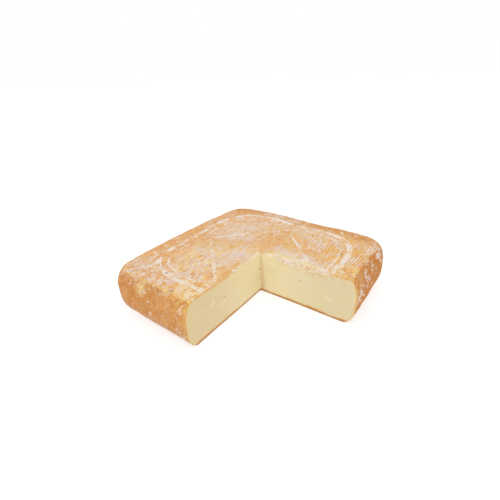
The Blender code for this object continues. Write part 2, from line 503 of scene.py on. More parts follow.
    def hatched(self, points: np.ndarray) -> np.ndarray:
        """How strongly the mat's ridges show on the top, inside the pressed frame and outside it.

        Args:
            points: places on the smooth form.

        Returns:
            The strength at each place, from 0 to 1.
        """
        inside = ease(-self.form.frame_distance(points[:, 0], points[:, 1]), *self.hatch_fade)
        wander = self.hatch_mean + self.hatch_wander * self.noise.at(points, self.wander_size)
        within = blotch_cover(points, self.hatch) * inside
        outside = blotch_cover(points, self.outer_hatch) * (1.0 - inside)
        cover = self.plain_hatch + (1.0 - self.plain_hatch) * np.maximum(within, outside)
        return np.clip(cover * wander, 0.0, 1.0) * self.near_top(points, self.hatch_drop)

    def ridges(self, points: np.ndarray) -> np.ndarray:
        """Ridges nearly along Y: a cosine of the distance across them, one turn each pitch."""
        across = points[:, 0] * math.cos(self.ridge_tilt) - points[:, 1] * math.sin(self.ridge_tilt)
        return np.cos(2.0 * np.pi * (across - self.form.cut_x) / self.ridge_pitch)

    def drawn(self, points: np.ndarray) -> np.ndarray:
        """Share of paste that the knife drew up over the rind along the two cuts.

        It is full at the lip and fades inward and downward. Along the cut that faces -Y its reach
        swells by a bell, and along the other it is short and ends sooner.

        Args:
            points: places on the smooth form.

        Returns:
            The share at each place.
        """
        along = points[:, 0] - self.form.cut_x
        inward = np.maximum(points[:, 1] - self.form.cut_y, 0.0)
        reach = self.drawn_reach + self.drawn_swell * bell(along - self.drawn_middle, self.drawn_half)
        right = plateau(along, self.drawn_along) * self.thinned(inward, reach)
        along = self.form.cut_y - points[:, 1]
        inward = np.maximum(self.form.cut_x - points[:, 0], 0.0)
        left = (1.0 - ease(along, *self.left_drawn_end)) * self.thinned(inward, self.left_drawn_reach)
        drawn = np.where(along > 0.0, self.left_drawn_share * left, right)
        return drawn * self.near_top(points, self.drawn_drop)

    def lip(self, points: np.ndarray) -> np.ndarray:
        """Dents, lump, roll and crumbs where the rind broke along the cut that faces -Y.

        The dents and the lump are bells along the cut, and each fades inward by a bell.

        Args:
            points: places on the smooth form.

        Returns:
            The rise at each place.
        """
        along = points[:, 0] - self.form.cut_x
        inward = points[:, 1] - self.form.cut_y
        dents = sum(rise * bell(along - middle, half) for middle, rise, half in self.broken_lip)
        crumbs = self.noise.at(points, self.crumble_size)
        crumbs += self.fine_crumble * self.noise.at(points, 0.5 * self.crumble_size)
        reaches = (self.lip_reach, self.crumble_reach, self.roll_reach)
        near, close, rolled = (np.where(along > 0.0, bell(inward, reach), 0.0) for reach in reaches)
        roll = self.drawn_roll * self.drawn(points) * rolled
        crumbled = close * plateau(along, self.crumble_along) * self.crumble_height * crumbs
        return near * dents - roll + crumbled

    def rise(self, points: np.ndarray) -> np.ndarray:
        """Adds up the slow swell, the lumps, the pressed bands, the ridges and the broken lip.

        Args:
            points: places on the smooth form.

        Returns:
            How far the rind stands proud of the form at each place.
        """
        x, y, z = points.T
        total = np.zeros(len(points))
        for along_x, along_y, phase in self.swell_waves:
            total += self.swell_height * np.sin(along_x * x + along_y * y + phase)
        for size, height in self.lumps:
            total += height * self.noise.at(points, size)
        total *= ease(z, 0.0, self.form.foot_rise / 2)
        on_top = self.near_top(points, self.relief_drop)
        total += on_top * self.band_height * self.form.bands(x, y)
        total += self.ridge_height * self.hatched(points) * self.ridges(points)
        return total + on_top * self.lip(points)


@dataclass(frozen=True)
class Eye:
    """A small hole in the paste on a cut: distance from the inner corner, height, half width."""

    along: float
    height: float
    half_width: float
    squash: float = 0.75
    depth: float = 0.45
    lip: float = 0.2 * MM
    lip_middle: float = 1.35
    lip_half: float = 0.6
    lip_above: float = 0.4
    lip_gain: float = 1.4

    def distance(self, along: np.ndarray, height: np.ndarray) -> np.ndarray:
        """Distance from the eye's middle in half widths, with the height stretched by the squash."""
        return np.hypot(along - self.along, (height - self.height) / self.squash) / self.half_width

    def rise(self, along: np.ndarray, height: np.ndarray) -> np.ndarray:
        """A half ellipsoid sunk in the cut, with a low ring of paste pushed up round it, most below.

        Args:
            along: distance from the inner corner.
            height: height over the table.

        Returns:
            How far the paste stands out of the cut, below 0 in the eye.
        """
        away = self.distance(along, height)
        hollow = self.depth * self.half_width * np.sqrt(np.clip(1.0 - away**2, 0.0, 1.0))
        below = ease(self.height - height, -self.half_width, self.half_width)
        ring = self.lip * bell(away - self.lip_middle, self.lip_half)
        return ring * (self.lip_above + self.lip_gain * below) - hollow


@dataclass(frozen=True)
class Mark:
    """A short mark across a cut, from start to end as (along, height); below 0 it sinks in. Most are scuffs
    dragged by the knife; the pale ones just beside the eyes are painted highlight.
    """

    start: Pair
    end: Pair
    half_width: float
    rise: float

    def share(self, along: np.ndarray, height: np.ndarray) -> np.ndarray:
        """A bell of the distance from the line between the mark's ends.

        Args:
            along: distance from the inner corner.
            height: height over the table.

        Returns:
            The share of the mark's rise.
        """
        run = np.subtract(self.end, self.start)
        gap_along, gap_height = along - self.start[0], height - self.start[1]
        reach = np.clip((gap_along * run[0] + gap_height * run[1]) / (run @ run), 0.0, 1.0)
        return bell(np.hypot(gap_along - reach * run[0], gap_height - reach * run[1]), self.half_width)


def mark_rows(*rows: tuple[float, float, float, float, float, float]) -> tuple[Mark, ...]:
    """Makes marks from rows of numbers, all in millimetres.

    Args:
        rows: distance and height of the start, the same of the end, the half width and the rise.

    Returns:
        The marks.
    """
    lengths = ([number * MM for number in row] for row in rows)
    return tuple(Mark((a, b), (c, d), half_width, rise) for a, b, c, d, half_width, rise in lengths)


@dataclass(frozen=True)
class CutFace:
    """One knife cut, read by the distance from the inner corner and the height."""

    noise: GradientNoise
    turn: float
    eyes: tuple[Eye, ...]
    marks: tuple[Mark, ...] = ()
    ledges: tuple[Pair, ...] = ()
    ledge_span: Span = (12 * MM, 40 * MM, 64 * MM, 86 * MM)
    ledge_drop: float = 6.0 * MM
    ledge_edge: float = 0.6 * MM
    stray_height: float = 0.7 * MM
    stray_length: float = 8 * MM
    mass_span: Span = (36 * MM, 48 * MM, 68 * MM, 84 * MM)
    mass_height: float = 0.6 * MM
    mass_sizes: Pair = (2.9 * MM, 1.4 * MM)
    mass_fade: Pair = (0.45, 0.75)
    mass_levels: Pair = (-0.25, 0.35)
    wave: float = 0.28 * MM
    wave_length: float = 21 * MM
    wander: float = 45.0
    grain_height: float = 0.07 * MM
    grain_size: float = 2.2 * MM
    grain_draw: float = 3.5
    wobble_height: float = 0.36 * MM
    wobble_size: float = 2.6 * MM
    wobble_fade: Pair = (0.3 * MM, 2.5 * MM)
    gather_reach: float = 7.0 * MM
    gather_power: float = 1.75

    def gather(self, along: np.ndarray, height: np.ndarray) -> tuple[np.ndarray, np.ndarray]:
        """Draws the grid in round each eye: a distance r within the reach R becomes R (r / R)^p.

        Args:
            along: distance of each grid point from the inner corner.
            height: height of each grid point.

        Returns:
            The two, drawn in.
        """
        for eye in self.eyes:
            if eye.along < self.gather_reach:
                continue
            gap_along, gap_height = along - eye.along, height - eye.height
            away = np.clip(np.hypot(gap_along, gap_height) / self.gather_reach, 1e-6, 1.0)
            share = away ** (self.gather_power - 1.0)
            along, height = eye.along + gap_along * share, eye.height + gap_height * share
        return along, height

    def drag(self, along: np.ndarray, gap: np.ndarray) -> dict[str, np.ndarray]:
        """Paste and rind dragged down under the lip: ledges whose edges droop and rise again.

        Each ledge stands out above its edge and steps back below it. Crumbs lie between the lip
        and the middle ledge.

        Args:
            along: distance from the inner corner.
            gap: distance below the lip.

        Returns:
            The rise, and the shares of painted shadow under the ledges, of smeared paste with painted
            highlight on the crests, and of crumbs at each place.
        """
        zero = np.zeros_like(along)
        made = {"rise": zero, "crease_shade": zero, "smear_and_highlight": zero, "mass": zero}
        if not self.ledges:
            return made
        droop = plateau(along, self.ledge_span)
        fading, edge = np.sqrt(droop), self.ledge_edge
        stray = self.stray_height * self.noise.at(np.stack([along, zero, zero], axis=1), self.stray_length)
        for share, height in self.ledges:
            line = (self.ledge_drop * share + stray * share) * droop
            rise = height * (1.0 - ease(gap, line - edge, line + edge))
            made["rise"] = made["rise"] + rise * fading
            # Painted shadow: a line just below each ledge's edge, where the ledge overhangs.
            crease_shade = bell(gap - line - 0.8 * edge, 1.2 * edge) * fading
            made["crease_shade"] = np.maximum(made["crease_shade"], crease_shade)
            # Pale paste on each ledge's crest, partly painted highlight.
            smear_and_highlight = bell(gap - line + 1.2 * edge, 1.6 * edge) * fading
            made["smear_and_highlight"] = np.maximum(made["smear_and_highlight"], smear_and_highlight * share)
        mass = plateau(along, self.mass_span)
        mass *= 1.0 - ease(gap, *(share * self.ledge_drop for share in self.mass_fade))
        spots = np.stack([along, gap, zero], axis=1)
        coarse, fine = (self.noise.at(spots, size) for size in self.mass_sizes)
        lumps = coarse + 0.7 * fine
        made["rise"] = made["rise"] + self.mass_height * lumps * mass
        made["mass"] = mass * ease(lumps, *self.mass_levels)
        return made

    def proud(self, along: np.ndarray, height: np.ndarray, gap: np.ndarray) -> np.ndarray:
        """How far the paste stands out of the knife's plane: ripple, drag marks, folds and eyes.

        Args:
            along: distance from the inner corner.
            height: height over the table.
            gap: distance below the top's lip.

        Returns:
            The distance out of the plane.
        """
        phase = 2.0 * np.pi * height / self.wave_length + np.sin(self.wander * along)
        total = self.turn * self.wave * np.sin(phase) * np.sin(0.5 * self.wander * along + 1.0)
        spots = np.stack([along / self.grain_draw, height, 0.0 * height + self.turn], axis=1)
        total += self.grain_height * self.noise.at(spots, self.grain_size)
        spots = np.stack([along, 0.25 * height, 0.0 * height - self.turn], axis=1)
        near_lip = 1.0 - ease(gap, *self.wobble_fade)
        total += self.wobble_height * self.noise.at(spots, self.wobble_size) * near_lip
        total += self.drag(along, gap)["rise"]
        for mark in self.marks:
            total += mark.rise * mark.share(along, height)
        for eye in self.eyes:
            total += eye.rise(along, height)
        return total


class Side(Enum):
    """The two cuts, named for where they lie in the photograph's view."""

    LEFT = "left"
    RIGHT = "right"


class Slot(Enum):
    """The cheese's two material slots."""

    RIND = 0
    PASTE = 1


LEFT_EYES = (
    Eye(56.2 * MM, 26.4 * MM, 1.0 * MM),
    Eye(47.4 * MM, 35.2 * MM, 0.55 * MM, depth=0.25),
    Eye(2.0 * MM, 26.4 * MM, 1.25 * MM, depth=0.6),
    Eye(2.4 * MM, 16.0 * MM, 0.9 * MM, depth=0.6),
    Eye(1.3 * MM, 15.2 * MM, 0.6 * MM),
)
RIGHT_EYES = (Eye(43.2 * MM, 26.8 * MM, 1.0 * MM, 0.6),)
# Marks on the left cut: knife scuffs, one sunk line, and pale marks just beside the eyes that are painted
# highlight.
LEFT_MARKS = mark_rows(
    (87.6, 29.9, 82.6, 30.6, 0.7, 0.25),
    (77.2, 27.6, 67.7, 28.4, 0.6, 0.25),
    (82.5, 26.6, 79.5, 27.2, 0.6, 0.2),
    (72.0, 30.4, 69.5, 31.0, 0.5, 0.2),
    (57.0, 23.0, 56.2, 24.2, 0.8, 0.3),
    (2.0, 22.9, 2.2, 23.9, 0.9, 0.35),
    (2.2, 17.8, 2.7, 19.0, 1.0, 0.35),
    (61.0, 20.4, 59.4, 21.2, 0.6, 0.25),
    (46.8, 33.4, 45.6, 34.2, 0.9, 0.3),
    (50.2, 34.8, 48.8, 35.6, 0.8, 0.2),
    (20.8, 33.9, 16.2, 34.5, 0.7, -0.3),
)
RIGHT_LEDGES = ((0.25, 0.6 * MM), (0.68, 0.6 * MM), (1.0, 0.75 * MM))
# Marks on the cut that faces -Y: two scuffs, and a pale mark just below the eye that is painted highlight.
RIGHT_MARKS = mark_rows(
    (42.4, 24.7, 44.2, 24.7, 0.9, 0.35),
    (11.0, 36.5, 17.0, 35.5, 0.9, 0.15),
    (70.0, 20.0, 76.0, 17.5, 0.9, 0.15),
)


@dataclass
class CheeseMesh:
    """Builds the cheese's closed surface and the fields that its finishes read."""

    form: CheeseForm
    relief: RindRelief
    faces: dict[Side, CutFace]
    steps: tuple[int, int, int] = (22, 9, 13)
    step_x: float = 0.6 * MM
    step_y: float = 0.95 * MM
    fine_x: float = 0.3 * MM
    fine_y: float = 0.4 * MM
    fine_reach: float = 2.4 * MM
    pull_reach: float = 4.5 * MM
    # Painted shade beside the inner corner on the cut that faces -Y: its width at the top and at the foot,
    # and its fading edge.
    corner_shade_top: float = 1.6 * MM
    corner_shade_foot: float = 8.5 * MM
    web_reach: float = 3.2 * MM
    web_top: float = 0.4 * MM
    web_foot: float = 0.8 * MM
    mass_middle: float = 52 * MM
    mass_half: float = 26 * MM
    mass_reach: float = 5 * MM
    lift_reach: float = 9 * MM
    top_heights: Pair = (36 * MM, 41 * MM)
    eye_edge: Pair = (0.6, 1.1)
    corner_shade_edge: Pair = (0.1, 1.1)
    side_share: float = 0.6
    base_share: float = 1.2
    tolerance: float = 1e-9
    points: list[np.ndarray] = field(default_factory=list)
    quads: list[np.ndarray] = field(default_factory=list)
    quad_slots: list[np.ndarray] = field(default_factory=list)
    normals: list[np.ndarray] = field(default_factory=list)
    cut_numbers: dict[Side, np.ndarray] = field(default_factory=dict)
    count: int = 0
    skin_count: int = field(init=False)
    cut_i: int = field(init=False)
    cut_j: int = field(init=False)
    top_numbers: np.ndarray = field(init=False)
    top_places: np.ndarray = field(init=False)
    side_numbers: np.ndarray = field(init=False)
    side_places: np.ndarray = field(init=False)
    base: np.ndarray = field(init=False)

    def lines(self, cut: float, fine: float, coarse: float) -> np.ndarray:
        """Places of the grid's lines one way across the top, closer together beside the cut.

        Args:
            cut: place of the line that the knife follows.
            fine: spacing beside the cut.
            coarse: spacing elsewhere.

        Returns:
            The places, from rim to rim.
        """
        half = self.form.rim_half
        near = np.arange(0.0, self.fine_reach - fine / 2, fine)
        away = np.concatenate([near, np.arange(self.fine_reach, half + abs(cut), coarse)])
        every = np.concatenate([cut - away[:0:-1], cut + away])
        inner = every[np.abs(every) < half - fine / 2]
        return np.concatenate([[-half], inner, [half]])

    def add_points(self, places: np.ndarray) -> np.ndarray:
        """Stores points.

        Args:
            places: the points, in a layout of any shape with the coordinates last.

        Returns:
            Their numbers, in the same layout.
        """
        numbers = self.count + np.arange(places[..., 0].size).reshape(places.shape[:-1])
        self.points.append(places.reshape(-1, 3))
        self.count += numbers.size
        return numbers

    def add_quads(self, numbers: np.ndarray, slot: Slot, flipped: bool = False) -> None:
        """Joins a grid of point numbers into quads, leaving out those with a number below 0.

        Args:
            numbers: the grid.
            slot: material of the quads.
            flipped: whether their corners run the other way round.
        """
        corners = [numbers[:-1, :-1], numbers[1:, :-1], numbers[1:, 1:], numbers[:-1, 1:]]
        cells = np.stack(corners[::-1] if flipped else corners, axis=-1).reshape(-1, 4)
        cells = cells[(cells >= 0).all(axis=1)]
        self.quads.append(cells)
        self.quad_slots.append(np.full(len(cells), slot.value))

    def add_top(self) -> None:
        """Adds the top: the bent grid at the level of the plain top, with the quarter left out."""
        form = self.form
        x_lines = self.lines(form.cut_x, self.fine_x, self.step_x)
        y_lines = self.lines(form.cut_y, self.fine_y, self.step_y)
        self.cut_i = int(np.argmin(np.abs(x_lines - form.cut_x)))
        self.cut_j = int(np.argmin(np.abs(y_lines - form.cut_y)))
        x, y = form.bend_corners(*np.meshgrid(x_lines, y_lines, indexing="ij"))
        places = np.stack([x, y, form.level(x, y)], axis=-1)
        i, j = np.indices(x.shape)
        kept = ~((i > self.cut_i) & (j < self.cut_j))
        numbers = np.full(x.shape, -1)
        numbers[kept] = self.add_points(places[kept])
        self.normals.append(np.tile([0.0, 0.0, 1.0], (kept.sum(), 1)))
        self.top_numbers = numbers
        self.top_places = places
        self.add_quads(numbers, Slot.RIND)

    def add_side(self) -> None:
        """Adds the side: each rim point carried down the profile to the table."""
        form = self.form
        last_i, last_j = self.top_numbers.shape[0] - 1, self.top_numbers.shape[1] - 1
        front = [(i, 0) for i in range(self.cut_i, 0, -1)]
        left = [(0, j) for j in range(last_j)]
        back = [(i, last_j) for i in range(last_i)]
        right = [(last_i, j) for j in range(last_j, self.cut_j - 1, -1)]
        path = tuple(np.array(front + left + back + right).T)
        x, y = self.top_places[path][:, 0], self.top_places[path][:, 1]
        outward = form.outward(x, y)
        inset, height, out, up = form.side_rows(form.corner_share(x, y), self.steps)
        level = (form.shoulder_inset - inset)[:, :, None] * outward[:, None, :]
        places = np.concatenate([np.stack([x, y], axis=1)[:, None, :] + level, height[:, :, None]], axis=2)
        normals = np.concatenate([out[:, :, None] * outward[:, None, :], up[:, :, None]], axis=2)
        below = self.add_points(places[:, 1:])
        self.normals.append(normals[:, 1:].reshape(-1, 3))
        self.side_numbers = np.concatenate([self.top_numbers[path][:, None], below], axis=1)
        self.side_places = places
        self.add_quads(self.side_numbers, Slot.RIND)

    def add_cuts(self) -> None:
        """Adds the two cut faces and the flat base that closes the form."""
        rows = self.side_places.shape[1]
        fall = self.side_places[0, :, 2] / self.side_places[0, 0, 2]
        corner_top = self.top_places[self.cut_i, self.cut_j]
        edge = corner_top * [1.0, 1.0, 0.0] + np.outer(fall, [0.0, 0.0, corner_top[2]])
        inner = np.concatenate([[self.top_numbers[self.cut_i, self.cut_j]], self.add_points(edge[1:])])
        self.skin_count = self.count - (rows - 1)
        outer = {Side.LEFT: 0, Side.RIGHT: len(self.side_places) - 1}
        left_line = (self.cut_i, slice(self.cut_j, None, -1))
        line = {Side.LEFT: left_line, Side.RIGHT: (slice(self.cut_i, None), self.cut_j)}
        for side, cut in self.faces.items():
            top = self.top_places[line[side]]
            down = self.side_places[outer[side]]
            places = self.loft(top, down, edge)
            flat = np.linalg.norm(places[..., :2] - corner_top[:2], axis=-1)
            along, height = cut.gather(flat.copy(), places[..., 2].copy())
            direction = np.array([0.0, -1.0]) if side is Side.LEFT else np.array([1.0, 0.0])
            level = corner_top[:2] + along[..., None] * direction
            places = np.concatenate([level, height[..., None]], axis=-1)
            numbers = np.full(along.shape, -1)
            numbers[:, 0] = self.top_numbers[line[side]]
            numbers[-1, :] = self.side_numbers[outer[side]]
            numbers[0, :] = inner
            numbers[1:-1, 1:] = self.add_points(places[1:-1, 1:])
            self.cut_numbers[side] = numbers
            self.add_quads(numbers, Slot.PASTE, flipped=side is Side.RIGHT)
        right, left = self.cut_numbers[Side.RIGHT], self.cut_numbers[Side.LEFT]
        self.base = np.concatenate([self.side_numbers[:, -1], right[-2:0:-1, -1], left[:-1, -1]])

    @staticmethod
    def loft(top: np.ndarray, outer: np.ndarray, inner: np.ndarray) -> np.ndarray:
        """Stretches a grid between four edges, as the sum of two lofts less the corners' plane.

        Args:
            top: edge along the lip, from the inner corner out.
            outer: edge down the side's profile.
            inner: edge down the inner corner.

        Returns:
            The grid's places, along the first axis and down the second.
        """
        far = np.linalg.norm(top - top[0], axis=1)
        s = (far / far[-1])[:, None, None]
        t = (1.0 - outer[:, 2] / outer[0, 2])[None, :, None]
        bottom = inner[-1] + s[:, 0] * (outer[-1] - inner[-1])
        lofts = (1 - t) * top[:, None] + t * bottom[:, None] + (1 - s) * inner[None] + s * outer[None]
        plane = (1 - t) * ((1 - s) * top[0] + s * top[-1]) + t * bottom[:, None]
        return lofts - plane

    def press_relief(self, places: np.ndarray) -> np.ndarray:
        """Moves the outer surface along its normal by the rind's relief, and the cuts' tops with it.

        Args:
            places: points on the smooth form.

        Returns:
            The moved points.
        """
        skin = places[: self.skin_count]
        moved = places.copy()
        moved[: self.skin_count] += self.relief.rise(skin)[:, None] * np.concatenate(self.normals)
        for numbers in self.cut_numbers.values():
            lift = moved[numbers[:, 0], 2] - places[numbers[:, 0], 2]
            drop = places[numbers[:, 0], 2][:, None] - places[numbers, 2]
            share = 1.0 - ease(drop, 0.0, self.lift_reach)
            moved[numbers[:-1, 1:], 2] += (lift[:, None] * share[:, 1:])[:-1]
        return moved

    def widened(self, top: float, foot: float, height: np.ndarray) -> np.ndarray:
        """A width that grows evenly from the top to the foot of a cut."""
        return top + (foot - top) * (1.0 - height / self.form.height)

    def pull_cuts(self, places: np.ndarray, gap: np.ndarray) -> np.ndarray:
        """Moves each cut out of its plane, with the rind beside it following by a falling share.

        Args:
            places: points of the surface.
            gap: distance of each below the lip.

        Returns:
            The moved points.
        """
        form = self.form
        x, y, z = places.T
        moved = places.copy()
        before_x, before_y = np.maximum(form.cut_x - x, 0.0), np.maximum(y - form.cut_y, 0.0)
        near_x = np.clip(1.0 - before_x / self.pull_reach, 0.0, 1.0)
        near_y = np.clip(1.0 - before_y / self.pull_reach, 0.0, 1.0)
        share = (near_x * near_y) ** 2
        along = np.maximum(form.cut_y - y, 0.0)
        left = self.faces[Side.LEFT].proud(along, z, gap)
        moved[:, 0] += np.where((x <= form.cut_x + self.tolerance) & (share > 0), left * share, 0.0)
        along = np.maximum(x - form.cut_x, 0.0)
        right = self.faces[Side.RIGHT].proud(along, z, gap)
        moved[:, 1] -= np.where((y >= form.cut_y - self.tolerance) & (share > 0), right * share, 0.0)
        away = np.maximum(np.abs(x - form.cut_x), np.abs(y - form.cut_y))
        web = self.widened(self.web_top, self.web_foot, z)
        web = web * np.clip(1.0 - away / self.web_reach, 0.0, 1.0) ** 2
        return moved + web[:, None] * np.array([1.0, -1.0, 0.0])

    def lip_gap(self, places: np.ndarray) -> np.ndarray:
        """Distance of each point below the top's level above it."""
        return np.maximum(self.form.level(places[:, 0], places[:, 1]) - places[:, 2], 0.0)

    def rim_gap(self, places: np.ndarray) -> np.ndarray:
        """Distance of each point outside the top's rim, and down the side below it.

        It is the distance from a square with round corners: the length of what is past the
        corners' middles, less their radius. The drop below the plain top is added to it, and the
        base counts as the side wherever it lies.

        Args:
            places: points on the smooth form.

        Returns:
            The distances, below 0 inside the rim.
        """
        start = self.form.rim_half - self.form.rim_radius
        past = np.abs(places[:, :2]) - start
        outside = np.linalg.norm(np.maximum(past, 0.0), axis=1)
        inside = np.minimum(past.max(axis=1), 0.0)
        gap = self.lip_gap(places)
        around = outside + inside - self.form.rim_radius + self.side_share * gap
        return np.maximum(around, self.base_share * gap - self.form.height / 2)

    def skin_fields(self, skin: np.ndarray) -> dict[str, np.ndarray]:
        """Works out the fields that follow from the smooth form, one value for each point.

        The gaps are distances in millimetres, and the others are shares from 0 to 1.

        Args:
            skin: points on the smooth form.

        Returns:
            Each field by its name.
        """
        form, relief = self.form, self.relief
        x, y, z = skin.T
        made = {
            "lip_gap": self.lip_gap(skin) / MM,
            "rim_gap": self.rim_gap(skin) / MM,
            "cut_gap": np.hypot(np.maximum(form.cut_x - x, 0.0), np.maximum(y - form.cut_y, 0.0)) / MM,
            "frame_gap": form.frame_distance(x, y) / MM,
            "lozenge_gap": form.lozenge_distance(x, y) / MM,
            "on_top": ease(z, *self.top_heights),
            "hatch": relief.hatched(skin),
            "drawn": relief.drawn(skin),
        }
        patches = {
            "bloom": relief.bloomed,
            "cream": relief.creamy,
            "golden": relief.golden,
            "veiled": relief.veiled,
            "speck": relief.specks,
            "grainy": relief.grainy,
        }
        made |= {label: blotch_cover(skin, group) for label, group in patches.items()}
        crumbled = bell(x - self.mass_middle, self.mass_half)
        made["mass"] = made["drawn"] * crumbled * bell(y - form.cut_y, self.mass_reach)
        return made

    def fields(self, places: np.ndarray, skin: np.ndarray) -> dict[str, np.ndarray]:
        """Works out the fields that the finishes read, with those of the cuts added.

        Args:
            places: points of the finished surface.
            skin: the same points on the smooth form.

        Returns:
            Each field by its name.
        """
        made = self.skin_fields(skin)
        for label in ("side_gap", "corner_gap", "eye", "mark", "dent_shade", "crease_shade", "smear_and_highlight", "pale", "corner_shade"):
            made[label] = np.zeros(self.count)
        gap = self.lip_gap(skin)
        corner = np.array([self.form.cut_x, self.form.cut_y])
        for side, numbers in self.cut_numbers.items():
            axis = 1 if side is Side.LEFT else 0
            along = np.abs(places[numbers][..., axis] - corner[axis])
            height = places[numbers][..., 2]
            made["side_gap"][numbers] = np.abs(along - along[-1:, :]) / MM
            made["corner_gap"][numbers] = along / MM
            for spot in self.faces[side].eyes:
                share = 1.0 - ease(spot.distance(along, height), *self.eye_edge)
                made["eye"][numbers] = np.maximum(made["eye"][numbers], share)
            for mark in self.faces[side].marks:
                label = "mark" if mark.rise > 0.0 else "dent_shade"
                made[label][numbers] = np.maximum(made[label][numbers], mark.share(along, height))
            drag = self.faces[side].drag(along.ravel(), gap[numbers].ravel())
            for label in ("crease_shade", "smear_and_highlight", "mass"):
                made[label][numbers] = drag[label].reshape(along.shape)
            if side is Side.RIGHT:
                # Painted light: this cut takes the paler copy of the paste.
                made["pale"][numbers] = 1.0
                # Painted shade: a darker band beside the inner corner, wider towards the foot.
                width = self.widened(self.corner_shade_top, self.corner_shade_foot, height)
                made["corner_shade"][numbers] = 1.0 - ease(along, *(share * width for share in self.corner_shade_edge))
        return made

    def build(self, name: str) -> bpy.types.Object:
        """Builds the cheese's mesh object.

        Args:
            name: name of the piece.

        Returns:
            The object, with its fields stored as point attributes.
        """
        self.add_top()
        self.add_side()
        self.add_cuts()
        smooth = np.concatenate(self.points)
        places = self.pull_cuts(self.press_relief(smooth), self.lip_gap(smooth))
        mesh = bpy.data.meshes.new(name)
        quads = np.concatenate(self.quads)
        mesh.from_pydata(places.tolist(), [], quads.tolist() + [self.base.tolist()])
        slots = np.concatenate(self.quad_slots + [[Slot.RIND.value]]).astype(np.int32)
        mesh.polygons.foreach_set("material_index", slots)
        shaded = np.ones(len(mesh.polygons), bool)
        shaded[-1] = False
        mesh.polygons.foreach_set("use_smooth", shaded)
        for label, values in self.fields(places, smooth).items():
            layer = mesh.attributes.new(label, "FLOAT", "POINT")
            layer.data.foreach_set("value", values.astype(np.float32))
        mesh.update()
        return add_object(name, mesh)


@dataclass(frozen=True)
class CrumbPatch:
    """Loose crumbs strewn about a place: how far they spread each way, how many and how big."""

    place: Triple
    spread: Triple
    count: int
    radius: float

    def weights(self, points: np.ndarray) -> np.ndarray:
        """Chance of a crumb at each point: exp(-(distance / spread)^2), made to add up to 1."""
        share = np.exp(-(((points - np.array(self.place)) / np.array(self.spread)) ** 2).sum(axis=1))
        return share / share.sum()


def crumb_rows(*rows: tuple[Triple, Triple, int, float]) -> tuple[CrumbPatch, ...]:
    """Makes patches of crumbs from rows of numbers.

    Args:
        rows: place and spread in millimetres, count, and radius in millimetres.

    Returns:
        The patches.
    """
    return tuple(
        CrumbPatch(tuple(x * MM for x in place), tuple(x * MM for x in spread), count, radius * MM)
        for place, spread, count, radius in rows
    )


CRUMB_PATCHES = crumb_rows(
    ((-48, -92.5, 44), (34, 1.1, 3), 90, 0.42),
    ((-51, -96.5, 41), (5, 2.5, 4), 24, 0.5),
    ((-4, -88, 44), (7, 9, 4), 60, 0.42),
    ((2, -45, 44), (1.2, 34, 2), 60, 0.36),
    ((50, 3.5, 43), (20, 2, 3), 90, 0.45),
    ((91.5, 15.3, 44), (2.2, 2.6, 2), 18, 0.6),
    ((84, 6, 43), (7, 4, 4), 30, 0.45),
    ((93, 50, 42), (2.4, 34, 3), 50, 0.42),
)


